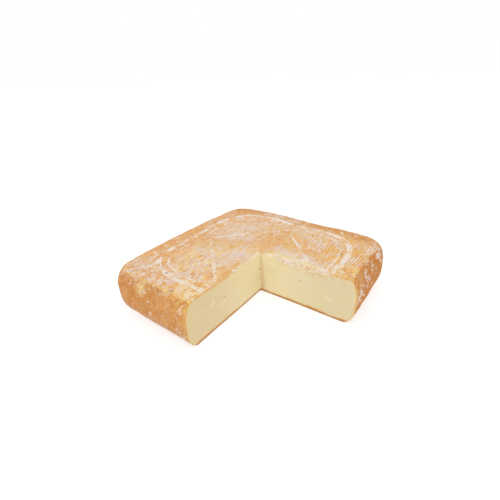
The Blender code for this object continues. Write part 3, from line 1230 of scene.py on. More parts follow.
@dataclass(frozen=True)
class Crumbs:
    """Crumbs of rind and paste that stick to the surface, as one joined mesh."""

    patches: tuple[CrumbPatch, ...] = CRUMB_PATCHES
    seed: int = 21
    size_range: Pair = (0.6, 1.5)
    flatness: float = 0.7
    roughness: float = 0.22
    sunk: float = 0.35

    def build(self, name: str, cheese: bpy.types.Object) -> bpy.types.Object:
        """Places the crumbs at points of the cheese, each an uneven ball of 20 faces, half sunk in.

        Args:
            name: name of the piece.
            cheese: the surface that carries them.

        Returns:
            The object, with each crumb's own shade stored as a point attribute.
        """
        draw = np.random.default_rng(self.seed)
        count = len(cheese.data.vertices)
        places, normals = np.empty(count * 3, np.float32), np.empty(count * 3, np.float32)
        cheese.data.vertices.foreach_get("co", places)
        cheese.data.vertex_normals.foreach_get("vector", normals)
        places, normals = places.reshape(-1, 3).astype(float), normals.reshape(-1, 3).astype(float)
        ball, faces = self.ball()
        picks, radii = [], []
        for patch in self.patches:
            picks.append(draw.choice(count, patch.count, replace=False, p=patch.weights(places)))
            radii.append(patch.radius * draw.uniform(*self.size_range, patch.count))
        pick, radius = np.concatenate(picks), np.concatenate(radii)[:, None, None]
        turned = np.einsum("nij,vj->nvi", self.turns(draw, len(pick)), ball)
        lumps = turned * radius * (1.0 + self.roughness * draw.uniform(-1.0, 1.0, (len(pick), len(ball), 1)))
        normal = normals[pick][:, None, :]
        rise = (lumps * normal).sum(axis=2, keepdims=True)
        lumps += normal * ((self.flatness - 1.0) * rise - self.sunk * radius * self.flatness)
        points = (places[pick][:, None, :] + lumps).reshape(-1, 3)
        every = (faces[None] + len(ball) * np.arange(len(pick))[:, None, None]).reshape(-1, 3)
        mesh = bpy.data.meshes.new(name)
        mesh.from_pydata(points.tolist(), [], every.tolist())
        mesh.polygons.foreach_set("use_smooth", np.ones(len(every), bool))
        shade = np.repeat(draw.uniform(0.0, 1.0, len(pick)), len(ball)).astype(np.float32)
        mesh.attributes.new("shade", "FLOAT", "POINT").data.foreach_set("value", shade)
        mesh.update()
        return add_object(name, mesh)

    @staticmethod
    def ball() -> tuple[np.ndarray, np.ndarray]:
        """An icosahedron of radius 1: two poles, and two rings of five half a step apart.

        Returns:
            Its 12 points, and its 20 faces turned outwards.
        """
        level = 1.0 / math.sqrt(5.0)
        here = np.arange(5)
        turn = 2.0 * np.pi * here / 5
        rings = []
        for height, turned in ((level, turn), (-level, turn + np.pi / 5)):
            ring = [2 * level * np.cos(turned), 2 * level * np.sin(turned), np.full(5, height)]
            rings.append(np.stack(ring, axis=1))
        points = np.concatenate([[[0.0, 0.0, 1.0]], *rings, [[0.0, 0.0, -1.0]]])
        there = (here + 1) % 5
        zero = np.zeros(5, int)
        faces = [
            np.stack([zero, 1 + here, 1 + there], axis=1),
            np.stack([1 + here, 6 + here, 1 + there], axis=1),
            np.stack([1 + there, 6 + here, 6 + there], axis=1),
            np.stack([zero + 11, 6 + there, 6 + here], axis=1),
        ]
        return points, np.concatenate(faces)

    @staticmethod
    def turns(draw: np.random.Generator, count: int) -> np.ndarray:
        """Random turns, from unit quaternions.

        Args:
            draw: the random draw.
            count: how many turns.

        Returns:
            One 3 by 3 matrix each.
        """
        w, x, y, z = draw.normal(size=(4, count))
        length = np.sqrt(w * w + x * x + y * y + z * z)
        w, x, y, z = w / length, x / length, y / length, z / length
        rows = [
            [1 - 2 * (y * y + z * z), 2 * (x * y - w * z), 2 * (x * z + w * y)],
            [2 * (x * y + w * z), 1 - 2 * (x * x + z * z), 2 * (y * z - w * x)],
            [2 * (x * z - w * y), 2 * (y * z + w * x), 1 - 2 * (x * x + y * y)],
        ]
        return np.moveaxis(np.array(rows), 2, 0)


@dataclass(frozen=True)
class Tint:
    """A colour as the screen shows it, from 0 to 255 a channel."""

    red: int
    green: int
    blue: int

    def linear(self) -> tuple[float, float, float, float]:
        """The colour as light: each channel undone from the screen's curve.

        Returns:
            Red, green and blue from 0 to 1, and a full alpha.
        """
        shares = [channel / 255.0 for channel in (self.red, self.green, self.blue)]
        light = [s / 12.92 if s <= 0.04045 else ((s + 0.055) / 1.055) ** 2.4 for s in shares]
        return (*light, 1.0)


Socket = bpy.types.NodeSocket
Value = Socket | float
Colour = Socket | Tint
Coords = Triple | Socket | None


class Wiring:
    """Adds and links the nodes of one material or node group."""

    def __init__(self, tree: bpy.types.NodeTree) -> None:
        """Keeps the tree that the nodes go into."""
        self.tree = tree

    def node(self, kind: str, inputs: dict | None = None, **settings: object) -> bpy.types.Node:
        """Adds a node.

        Args:
            kind: the node's type.
            inputs: values or output sockets for its inputs, by name or number.
            settings: the node's own settings.

        Returns:
            The node.
        """
        made = self.tree.nodes.new(kind)
        for key, value in settings.items():
            setattr(made, key, value)
        for key, value in (inputs or {}).items():
            if isinstance(value, Socket):
                self.tree.links.new(value, made.inputs[key])
            else:
                made.inputs[key].default_value = value
        return made

    def calc(self, operation: str, first: Value, second: Value = 0.0, third: Value = 0.0) -> Socket:
        """Output of a Math node."""
        return self.node("ShaderNodeMath", {0: first, 1: second, 2: third}, operation=operation).outputs[0]

    def scaled(self, value: Value, factor: Value, offset: Value) -> Socket:
        """The value times the factor, plus the offset."""
        return self.calc("MULTIPLY_ADD", value, factor, offset)

    def highest(self, first: Value, second: Value) -> Socket:
        """The larger of two values."""
        return self.calc("MAXIMUM", first, second)

    def noise(self, vector: Socket, scale: Value, detail: Value, roughness: float = 0.5) -> Socket:
        """Output of a noise texture, which stays about one half."""
        inputs = {"Vector": vector, "Scale": scale, "Detail": detail, "Roughness": roughness}
        return self.node("ShaderNodeTexNoise", inputs).outputs["Fac"]

    def ramp(
        self, value: Value, low: Value, high: Value, to_low: float = 0.0, to_high: float = 1.0
    ) -> Socket:
        """Output of a smooth Map Range node, which holds its ends' values outside them."""
        inputs = {"Value": value, "From Min": low, "From Max": high, "To Min": to_low, "To Max": to_high}
        return self.node("ShaderNodeMapRange", inputs, interpolation_type="SMOOTHSTEP").outputs[0]

    def mix(self, share: Value, first: Colour, second: Colour) -> Socket:
        """Mixes two colours.

        Args:
            share: how much of the second, from 0 to 1.
            first: a tint or a socket.
            second: a tint or a socket.

        Returns:
            The mixed colour's socket.
        """
        made = self.node("ShaderNodeMix", data_type="RGBA")
        for key, kind, value in (("Factor", "VALUE", share), ("A", "RGBA", first), ("B", "RGBA", second)):
            socket = next(s for s in made.inputs if (s.name, s.type) == (key, kind))
            if isinstance(value, Socket):
                self.tree.links.new(value, socket)
            else:
                socket.default_value = value.linear() if isinstance(value, Tint) else value
        return next(s for s in made.outputs if s.type == "RGBA")

    def field(self, name: str) -> Socket:
        """Value of a point attribute."""
        return self.node("ShaderNodeAttribute", attribute_name=name).outputs["Fac"]

    def places(self, stretch: Triple = (1.0, 1.0, 1.0)) -> Socket:
        """Object coordinates, multiplied one way or another."""
        here = self.node("ShaderNodeTexCoord").outputs["Object"]
        return self.node("ShaderNodeMapping", {"Vector": here, "Scale": stretch}).outputs[0]

    def group(self, tree: bpy.types.NodeTree, inputs: dict) -> Socket:
        """First output of a node group."""
        return self.node("ShaderNodeGroup", inputs, node_tree=tree).outputs[0]

    def bump(self, height: Socket, depth: float, strength: float, shader: bpy.types.Node) -> None:
        """Joins a relief to a shader, with its depth in metres, through a Bump node."""
        inputs = {"Height": height, "Distance": depth, "Strength": strength}
        self.tree.links.new(self.node("ShaderNodeBump", inputs).outputs[0], shader.inputs["Normal"])


class SharedEffects:
    """Node groups that more than one finish uses."""

    SPECKLE_ROUGHNESS = 0.6
    FINER_SCALE = 2.7
    FINER_SHARE = 0.5

    def __init__(self) -> None:
        """Builds the groups once."""
        self.speckle = self.build_speckle()
        self.grain = self.build_grain()

    @staticmethod
    def start(
        name: str, inputs: tuple[tuple[str, str, float], ...], output: str
    ) -> tuple[Wiring, bpy.types.Node, bpy.types.Node]:
        """Starts a group with its named sockets.

        Args:
            name: name of the group.
            inputs: name, socket type and first value of each input.
            output: name of the one output.

        Returns:
            The group's wiring, its input node and its output node.
        """
        tree = bpy.data.node_groups.new(name, "ShaderNodeTree")
        for label, kind, value in inputs:
            socket = tree.interface.new_socket(label, in_out="INPUT", socket_type=kind)
            if kind == "NodeSocketFloat":
                socket.default_value = value
        tree.interface.new_socket(output, in_out="OUTPUT", socket_type="NodeSocketFloat")
        return Wiring(tree), tree.nodes.new("NodeGroupInput"), tree.nodes.new("NodeGroupOutput")

    def build_speckle(self) -> bpy.types.NodeTree:
        """Patches where a noise passes a threshold: size in metres, cover and softness as shares.

        The threshold runs over the middle half of the noise: (1 - cover) / 2 + 1/4.

        Returns:
            The group.
        """
        inputs = (
            ("Vector", "NodeSocketVector", 0.0),
            ("Size", "NodeSocketFloat", 0.002),
            ("Cover", "NodeSocketFloat", 0.5),
            ("Softness", "NodeSocketFloat", 0.1),
            ("Detail", "NodeSocketFloat", 3.0),
        )
        wiring, start, end = self.start("Speckle", inputs, "Mask")
        scale = wiring.calc("DIVIDE", 1.0, start.outputs["Size"])
        detail = start.outputs["Detail"]
        noise = wiring.noise(start.outputs["Vector"], scale, detail, self.SPECKLE_ROUGHNESS)
        line = wiring.calc("SUBTRACT", 1.0, start.outputs["Cover"])
        line = wiring.scaled(line, 0.5, 0.25)
        low = wiring.calc("SUBTRACT", line, start.outputs["Softness"])
        high = wiring.calc("ADD", line, start.outputs["Softness"])
        wiring.tree.links.new(wiring.ramp(noise, low, high), end.inputs["Mask"])
        return wiring.tree

    def build_grain(self) -> bpy.types.NodeTree:
        """Fine unevenness for a Bump node: a noise of the named size with a finer one on it.

        Returns:
            The group.
        """
        inputs = (("Vector", "NodeSocketVector", 0.0), ("Size", "NodeSocketFloat", 0.001))
        wiring, start, end = self.start("Fine grain", inputs, "Height")
        scale = wiring.calc("DIVIDE", 1.0, start.outputs["Size"])
        coarse = wiring.noise(start.outputs["Vector"], scale, 2.0)
        finer = wiring.calc("MULTIPLY", scale, self.FINER_SCALE)
        fine = wiring.noise(start.outputs["Vector"], finer, 1.0)
        height = wiring.scaled(fine, self.FINER_SHARE, coarse)
        wiring.tree.links.new(height, end.inputs["Height"])
        return wiring.tree


def new_material(name: str) -> tuple[Wiring, bpy.types.Node, bpy.types.Material]:
    """Starts a material.

    Args:
        name: name of the material.

    Returns:
        Its wiring, its Principled BSDF and the material.
    """
    material = bpy.data.materials.new(name)
    material.use_nodes = True
    return Wiring(material.node_tree), material.node_tree.nodes["Principled BSDF"], material


class Coat:
    """A material as it is painted: tints laid over each other, then the relief and the gloss."""

    RELIEF_STRENGTH = 0.8

    def __init__(self, name: str, effects: SharedEffects) -> None:
        """Starts the material.

        Args:
            name: name of the material.
            effects: the shared node groups.
        """
        self.wiring, self.shader, self.material = new_material(name)
        self.effects = effects
        self.here = self.wiring.places()
        split = self.wiring.node("ShaderNodeSeparateXYZ", {0: self.here})
        self.x, self.y, self.z = (split.outputs[axis] for axis in "XYZ")
        self.colour = None

    def speckle(
        self, size: float, cover: Value, softness: float, stretch: Coords = None, detail: float = 3.0
    ) -> Socket:
        """Patches where a noise passes a threshold.

        Args:
            size: width of the patches in metres.
            cover: share of the surface that they take, as a value or a socket.
            softness: width of their edges, as a share of the noise.
            stretch: factors on the coordinates, or a socket with coordinates of its own.
            detail: number of finer layers in the noise.

        Returns:
            The mask.
        """
        vector = self.here
        if isinstance(stretch, tuple):
            vector = self.wiring.places(stretch)
        elif stretch is not None:
            vector = stretch
        inputs = {"Vector": vector, "Size": size, "Cover": cover, "Softness": softness, "Detail": detail}
        return self.wiring.group(self.effects.speckle, inputs)

    def waver(self, size: float, detail: float = 2.0, stretch: Triple = (1.0, 1.0, 1.0)) -> Socket:
        """A noise about 0 that reaches about a quarter either way."""
        noise = self.wiring.noise(self.wiring.places(stretch), 1.0 / size, detail)
        return self.wiring.calc("SUBTRACT", noise, 0.5)

    def strands(self, size: float, half_width: float, stretch: Triple = (1.0, 1.0, 1.0)) -> Socket:
        """Long curved strands, along the lines where a wide noise crosses its middle level."""
        away = self.wiring.calc("ABSOLUTE", self.waver(size, 1.5, stretch))
        return self.wiring.ramp(away, 1.4 * half_width, 0.6 * half_width)

    def times(self, *masks: Value) -> Socket:
        """Multiplies masks.

        Args:
            masks: values or sockets, two or more.

        Returns:
            The product's socket.
        """
        product = masks[0]
        for mask in masks[1:]:
            product = self.wiring.calc("MULTIPLY", product, mask)
        return product

    def lay(self, tint: Colour, mask: Socket, share: Value = 1.0) -> None:
        """Lays a tint over the colour so far.

        Args:
            tint: the tint, or a colour socket.
            mask: where it lies.
            share: share of the mask's strength.
        """
        if share != 1.0:
            mask = self.times(mask, share)
        self.colour = self.wiring.mix(mask, self.colour, tint)

    def dapple(
        self,
        tint: Colour,
        where: Socket,
        share: Value,
        size: float,
        cover: Value,
        softness: float,
        stretch: Coords = None,
        detail: float = 3.0,
    ) -> None:
        """Lays a tint over the colour so far, in patches within a mask.

        Args:
            tint: the tint.
            where: the mask.
            share: share of the tint's full strength.
            size: width of the patches in metres.
            cover: share of the mask that they take.
            softness: width of their edges, as a share of the noise.
            stretch: factors on the coordinates, or a socket with coordinates of its own.
            detail: number of finer layers in the noise.
        """
        self.lay(tint, self.times(self.speckle(size, cover, softness, stretch, detail), where), share)

    def finish(self, relief: Socket, depth: float, roughness: float, specular: float) -> bpy.types.Material:
        """Joins the colour and the relief to the shader.

        Args:
            relief: height of the fine relief, as a share of its depth.
            depth: the relief's depth.
            roughness: how matt the surface is.
            specular: strength of its plain reflection.

        Returns:
            The material.
        """
        self.wiring.tree.links.new(self.colour, self.shader.inputs["Base Color"])
        self.wiring.bump(relief, depth, self.RELIEF_STRENGTH, self.shader)
        self.shader.inputs["Roughness"].default_value = roughness
        self.shader.inputs["Specular IOR Level"].default_value = specular
        return self.material


@dataclass(frozen=True)
class RindFinish:
    """Washed rind: orange and gold mottling under a broken pinkish-white bloom.

    Its pairs say where a mask starts and where it is full: right_side and other_sides along X,
    back_shade and front_line along Y, foot_shade, foot_line and dusk_rise in height, and side_gaps
    in millimetres outside the top's rim. The rows of bands are the middle, half width and cover of
    each worn line.
    """

    ridge_pitch: float
    ridge_tilt: float
    ridge_start: float
    bands: tuple[tuple[str, tuple[Triple, ...]], ...] = (
        ("frame_gap", ((0.0, 2.5, 0.52), (-7.2, 0.8, 0.5))),
        ("lozenge_gap", ((0.0, 1.4, 0.42),)),
    )
    orange: Tint = Tint(214, 153, 93)
    gold: Tint = Tint(223, 175, 104)
    rust: Tint = Tint(205, 136, 70)
    straw: Tint = Tint(231, 198, 122)
    cream: Tint = Tint(229, 209, 158)
    bloom: Tint = Tint(226, 204, 184)
    white: Tint = Tint(232, 220, 210)
    lilac: Tint = Tint(217, 199, 188)
    # The sides' darker tints: partly the rind's own colour, partly painted shade.
    tan_shaded: Tint = Tint(190, 124, 56)
    amber_shaded: Tint = Tint(203, 147, 86)
    brown: Tint = Tint(174, 104, 38)
    umber_shade: Tint = Tint(184, 114, 44)
    peach: Tint = Tint(217, 155, 88)
    honey: Tint = Tint(232, 184, 92)
    ochre: Tint = Tint(213, 176, 100)
    dusk: Tint = Tint(199, 155, 121)
    paste: Tint = Tint(231, 213, 166)
    # Painted shade in the creases of paste drawn over the rind.
    crease_shade: Tint = Tint(205, 164, 100)
    # Darker copies of the bloom for the sides: partly thinner bloom, partly painted shade.
    side_bloom_shaded: Tint = Tint(210, 180, 158)
    side_veil_shaded: Tint = Tint(218, 197, 180)
    speck: Tint = Tint(112, 88, 62)
    right_side: Pair = (60 * MM, 90 * MM)
    other_sides: Pair = (90 * MM, 70 * MM)
    back_shade: Pair = (72 * MM, 86 * MM)
    front_line: Pair = (-55 * MM, -80 * MM)
    foot_shade: Pair = (20 * MM, 3 * MM)
    foot_line: Pair = (3.2 * MM, 0.8 * MM)
    dusk_rise: Pair = (30 * MM, 6 * MM)
    dusk_cover: float = 0.56
    side_gaps: Pair = (0.4, 3.2)
    fray_size: float = 3 * MM
    fray: float = 5.0
    line_gap: float = 1.3
    mat_sway: float = 2.4
    veil_levels: Pair = (0.62, 0.8)
    drawn_levels: Pair = (0.3, 0.62)
    roughness: float = 0.8
    specular: float = 0.2
    relief_depth: float = 0.22 * MM
    grain_size: float = 1.1 * MM
    crest_height: float = 1.2

    def frayed(self, coat: Coat, gap: Value) -> Socket:
        """Lets a distance in millimetres stray by a fine waver."""
        return coat.wiring.scaled(coat.waver(self.fray_size), self.fray, gap)

    def base(self, coat: Coat, on_side: Socket, on_top: Socket) -> None:
        """Mottles the top orange and gold, and the sides in darker mottling that is partly the rind's own
        colour and partly painted shade; the side facing +X and the top near the back rim get more painted
        shade.

        Args:
            coat: the material.
            on_side: mask of the sides.
            on_top: mask of the top.
        """
        cover = coat.wiring.scaled(coat.wiring.field("golden"), 0.4, 0.3)
        top = coat.wiring.mix(coat.speckle(5 * MM, cover, 0.07, (1.0, 0.6, 1.0)), self.orange, self.gold)
        # The sides take darker copies of the top's colours: partly the rind's own colour, partly painted
        # shade.
        side = coat.wiring.mix(coat.speckle(8 * MM, 0.5, 0.12), self.tan_shaded, self.amber_shaded)
        coat.colour = coat.wiring.mix(on_side, top, side)
        coat.dapple(self.rust, on_side, 0.4, 2.2 * MM, 0.3, 0.05, (1.0, 0.5, 1.0))
        coat.lay(self.rust, coat.speckle(2.2 * MM, 0.26, 0.05, (1.0, 0.5, 1.0)), 0.55)
        coat.dapple(self.brown, on_side, 0.25, 9 * MM, 0.36, 0.08, detail=5.0)
        # Painted shade: the side that faces +X is darkened further.
        coat.lay(self.umber_shade, coat.times(on_side, coat.wiring.ramp(coat.x, *self.right_side)), 0.8)
        share = coat.wiring.ramp(coat.x, *self.right_side, 0.5, 0.25)
        coat.dapple(self.peach, on_side, share, 1.5 * MM, 0.42, 0.06, detail=2.0)
        coat.dapple(self.brown, on_side, 0.45, 1.3 * MM, 0.34, 0.05, detail=2.0)
        coat.dapple(self.straw, on_top, 0.75, 1.9 * MM, 0.3, 0.04, detail=2.0)
        # Painted shade: the top darkens towards the back rim, where it rolls away from the light.
        coat.lay(self.tan_shaded, coat.times(coat.wiring.ramp(coat.y, *self.back_shade), on_top), 0.5)
        coat.dapple(self.ochre, on_side, 0.45, 2.2 * MM, 0.2, 0.05, detail=2.0)

    def fields(self, coat: Coat, bloom: Socket, on_side: Socket, on_top: Socket) -> None:
        """Lays the wide soft forms: creamy ground, pale strands and mauve dusk.

        Args:
            coat: the material.
            bloom: how thick the bloom lies.
            on_side: mask of the sides.
            on_top: mask of the top.
        """
        wiring = coat.wiring
        cream = wiring.field("cream")
        coat.dapple(self.cream, cream, 0.9, 2.6 * MM, 0.7, 0.06, (1.0, 0.7, 1.0))
        coat.lay(self.umber_shade, coat.times(wiring.ramp(coat.z, *self.foot_shade), on_side), 0.55)
        low = wiring.ramp(coat.z, *self.dusk_rise, 0.0, self.dusk_cover)
        cover = wiring.scaled(low, wiring.ramp(coat.x, *self.other_sides), 0.1)
        coat.dapple(self.dusk, on_side, 0.75, 4 * MM, cover, 0.05, (1.0, 1.0, 0.8), 5.0)
        self.grains(coat, coat.times(wiring.field("grainy"), wiring.ramp(on_side, 0.0, 1.0, 1.0, 0.5)))
        width = coat.times(wiring.highest(cream, coat.times(bloom, 0.7)), on_top)
        narrow = coat.strands(17 * MM, 0.045, (1.2, 0.6, 1.0))
        strands = wiring.highest(narrow, coat.strands(26 * MM, 0.05, (0.7, 1.2, 1.0)))
        strands = coat.times(strands, coat.speckle(6 * MM, 0.6, 0.08, detail=4.0))
        coat.lay(self.lilac, coat.times(strands, width), 0.95)
        smears = coat.speckle(15 * MM, 0.34, 0.05, (1.25, 0.55, 1.0), 4.0)
        coat.lay(self.lilac, coat.times(smears, wiring.ramp(width, 0.1, 0.6)), 0.8)

    def grains(self, coat: Coat, where: Socket) -> None:
        """Lays crisp grains of honey, orange, cream and white, a millimetre or two wide.

        Args:
            coat: the material.
            where: mask of the grainy places.
        """
        coat.dapple(self.cream, where, 0.95, 6.5 * MM, 0.44, 0.03, (1.1, 0.5, 1.0), 4.0)
        coat.dapple(self.honey, where, 0.95, 5.5 * MM, 0.42, 0.03, (1.0, 0.5, 1.0), 4.0)
        coat.dapple(self.rust, where, 0.85, 5.0 * MM, 0.36, 0.03, (1.1, 0.5, 1.0), 4.0)
        coat.dapple(self.white, where, 0.95, 2.6 * MM, 0.32, 0.03, (1.0, 0.6, 1.0), 2.0)

    def mat_lines(self, coat: Coat) -> Socket:
        """Lays the mat's parallel lines, white on the crests and orange between.

        Args:
            coat: the material.

        Returns:
            The crests' mask.
        """
        wiring = coat.wiring
        turn = 2.0 * math.pi / self.ridge_pitch
        across = wiring.scaled(coat.x, turn * math.cos(self.ridge_tilt), -turn * self.ridge_start)
        across = wiring.scaled(coat.y, -turn * math.sin(self.ridge_tilt), across)
        wave = wiring.calc("COSINE", wiring.scaled(coat.waver(9 * MM), self.mat_sway, across))
        hatch = wiring.field("hatch")
        coat.lay(self.orange, coat.times(wiring.ramp(wave, 0.1, -0.7), hatch), 0.75)
        cover = wiring.scaled(hatch, 0.9, 0.05)
        crest = coat.times(
            wiring.ramp(wave, 0.15, 0.6),
            coat.speckle(4.2 * MM, cover, 0.04, (1.5, 0.42, 1.0)),
            wiring.ramp(hatch, 0.1, 0.5),
        )
        coat.lay(self.white, crest)
        return crest

    def pressed_bands(self, coat: Coat) -> None:
        """Lays the worn white of the pressed frame and lozenge, in strands that run along them.

        Args:
            coat: the material.
        """
        wiring = coat.wiring
        worn = coat.waver(14 * MM)
        along_x, along_y = coat.times(coat.x, 0.12), coat.times(coat.y, 0.12)
        for name, lines in self.bands:
            gap = wiring.field(name)
            along = wiring.node("ShaderNodeCombineXYZ", {0: coat.times(gap, MM), 1: along_x, 2: along_y})
            for middle, half_width, cover in lines:
                away = wiring.calc("ABSOLUTE", wiring.calc("SUBTRACT", gap, middle))
                away = wiring.scaled(coat.waver(2.5 * MM), 1.6, away)
                band = wiring.ramp(away, half_width + 0.3, half_width - 0.3)
                cover = wiring.scaled(worn, 1.5, cover)
                cover = wiring.scaled(wiring.field("golden"), 0.12, cover)
                strands = coat.speckle(1.5 * MM, cover, 0.06, along.outputs[0], 2.0)
                coat.lay(self.white, coat.times(band, strands, wiring.field("on_top")), 0.85)

    def flecks(self, coat: Coat, bloom: Socket, on_side: Socket) -> Socket:
        """Lays the bloom's small crisp flecks, drawn out along the mat's lines on the top.

        Args:
            coat: the material.
            bloom: how thick the bloom lies.
            on_side: mask of the sides.

        Returns:
            The flecks' mask.
        """
        wiring = coat.wiring
        cover = wiring.scaled(bloom, 0.28, 0.19)
        cover = wiring.scaled(wiring.field("grainy"), -0.26, cover)
        cover = wiring.scaled(coat.waver(8 * MM), 0.6, cover)
        fine = coat.speckle(1.8 * MM, cover, 0.03, (1.0, 0.55, 1.0), 2.0)
        top = wiring.highest(fine, coat.speckle(4.2 * MM, cover, 0.03, (1.0, 0.5, 1.0), 4.0))
        elsewhere = wiring.ramp(coat.x, *self.other_sides, 0.0, 0.13)
        cover = wiring.calc("ADD", wiring.scaled(bloom, 0.1, 0.04), elsewhere)
        cover = wiring.scaled(coat.waver(10 * MM), 0.5, cover)
        side = coat.speckle(1.5 * MM, cover, 0.04, detail=2.0)
        both = wiring.node("ShaderNodeMix", {"Factor": on_side})
        wiring.tree.links.new(top, both.inputs[2])
        wiring.tree.links.new(side, both.inputs[3])
        # The sides' flecks take a darker copy of the bloom: partly thinner bloom, partly painted shade.
        coat.lay(wiring.mix(on_side, self.bloom, self.side_bloom_shaded), both.outputs[0], 0.9)
        cover = wiring.scaled(bloom, 0.72, -0.12)
        net = wiring.highest(coat.strands(6 * MM, 0.05), coat.strands(4.5 * MM, 0.055, (1.0, 0.7, 1.3)))
        net = coat.times(net, coat.speckle(4 * MM, cover, 0.03))
        cover = wiring.scaled(bloom, 0.78, -0.32)
        patch = coat.times(coat.speckle(3.4 * MM, cover, 0.03, (1.0, 0.45, 1.2), 4.0), on_side)
        net = wiring.highest(net, patch)
        veiled = wiring.scaled(coat.waver(3.2 * MM, 4.0), 2.6, wiring.field("veiled"))
        net = wiring.highest(net, wiring.ramp(veiled, *self.veil_levels))
        # The same darker copy of the bloom on the sides, partly painted shade.
        coat.lay(wiring.mix(on_side, self.bloom, self.side_veil_shaded), net, 0.92)
        return wiring.highest(both.outputs[0], net)

    def edges(self, coat: Coat, rim: Socket, on_side: Socket) -> None:
        """Lays the crumbly golden shoulder line, the straw rind beside the cuts and the dark foot.

        Args:
            coat: the material.
            rim: distance outside the top's rim, in millimetres.
            on_side: mask of the sides.
        """
        wiring = coat.wiring
        away = self.frayed(coat, wiring.calc("SUBTRACT", rim, self.line_gap))
        front = wiring.ramp(coat.y, *self.front_line, 0.15, 1.0)
        line = coat.times(wiring.ramp(wiring.calc("ABSOLUTE", away), 1.5, 0.4), front)
        cover = wiring.scaled(coat.waver(22 * MM), 1.4, 0.42)
        coat.dapple(self.gold, line, 0.7, 4 * MM, 0.6, 0.06, detail=4.0)
        coat.dapple(self.straw, line, 0.95, 2.2 * MM, cover, 0.05)
        cut_gap = wiring.field("cut_gap")
        near = wiring.ramp(self.frayed(coat, cut_gap), 5.0, 0.5)
        near = coat.times(near, wiring.ramp(on_side, 0.0, 1.0, 1.0, 0.45))
        coat.dapple(self.gold, near, 0.7, 3 * MM, 0.6, 0.06, detail=4.0)
        coat.dapple(self.straw, near, 0.75, 1.8 * MM, 0.4, 0.04, detail=2.0)
        coat.lay(self.rust, wiring.ramp(cut_gap, 1.1, 0.2), 0.5)
        coat.lay(self.brown, wiring.ramp(coat.z, *self.foot_line), 0.75)
        coat.lay(wiring.mix(on_side, self.speck, self.brown), wiring.field("speck"), 0.85)

    def drawn_paste(self, coat: Coat) -> None:
        """Lays paste that the knife drew over the rind: cream with white and golden streaks, and darker
        strands of painted shade in its creases.

        Args:
            coat: the material.
        """
        wiring = coat.wiring
        drawn = wiring.scaled(coat.waver(7 * MM, 4.0, (0.6, 1.2, 1.0)), 2.2, wiring.field("drawn"))
        drawn = wiring.ramp(drawn, *self.drawn_levels)
        coat.lay(self.paste, drawn, 0.94)
        coat.dapple(self.white, drawn, 0.85, 5 * MM, 0.56, 0.05, (0.35, 1.3, 1.0))
        coat.dapple(self.gold, drawn, 0.6, 1.6 * MM, 0.26, 0.04, detail=2.0)
        coat.dapple(self.straw, drawn, 0.85, 3 * MM, 0.32, 0.05, (0.4, 1.0, 1.0))
        # Painted shade: darker strands for the creases in the drawn paste.
        coat.lay(self.crease_shade, coat.times(drawn, coat.strands(6 * MM, 0.03, (0.3, 1.2, 1.0))), 0.4)
        mass = wiring.field("mass")
        coat.dapple(self.rust, mass, 0.75, 2.4 * MM, 0.42, 0.05)
        coat.dapple(self.white, mass, 0.85, 1.9 * MM, 0.34, 0.05, detail=1.0)

    def build(self, effects: SharedEffects) -> bpy.types.Material:
        """Builds the material.

        Args:
            effects: the shared node groups.

        Returns:
            The material.
        """
        coat = Coat("washed_rind", effects)
        wiring = coat.wiring
        bloom, rim = wiring.field("bloom"), wiring.field("rim_gap")
        ragged = wiring.scaled(coat.waver(9 * MM), 6.0, self.frayed(coat, rim))
        on_side = wiring.ramp(ragged, *self.side_gaps)
        on_top = wiring.calc("SUBTRACT", 1.0, on_side)
        self.base(coat, on_side, on_top)
        self.fields(coat, bloom, on_side, on_top)
        crest = self.mat_lines(coat)
        fleck = self.flecks(coat, bloom, on_side)
        self.pressed_bands(coat)
        self.edges(coat, rim, on_side)
        self.drawn_paste(coat)
        grain = wiring.group(effects.grain, {"Vector": coat.here, "Size": self.grain_size})
        relief = wiring.scaled(crest, self.crest_height, wiring.calc("ADD", grain, fleck))
        return coat.finish(relief, self.relief_depth, self.roughness, self.specular)


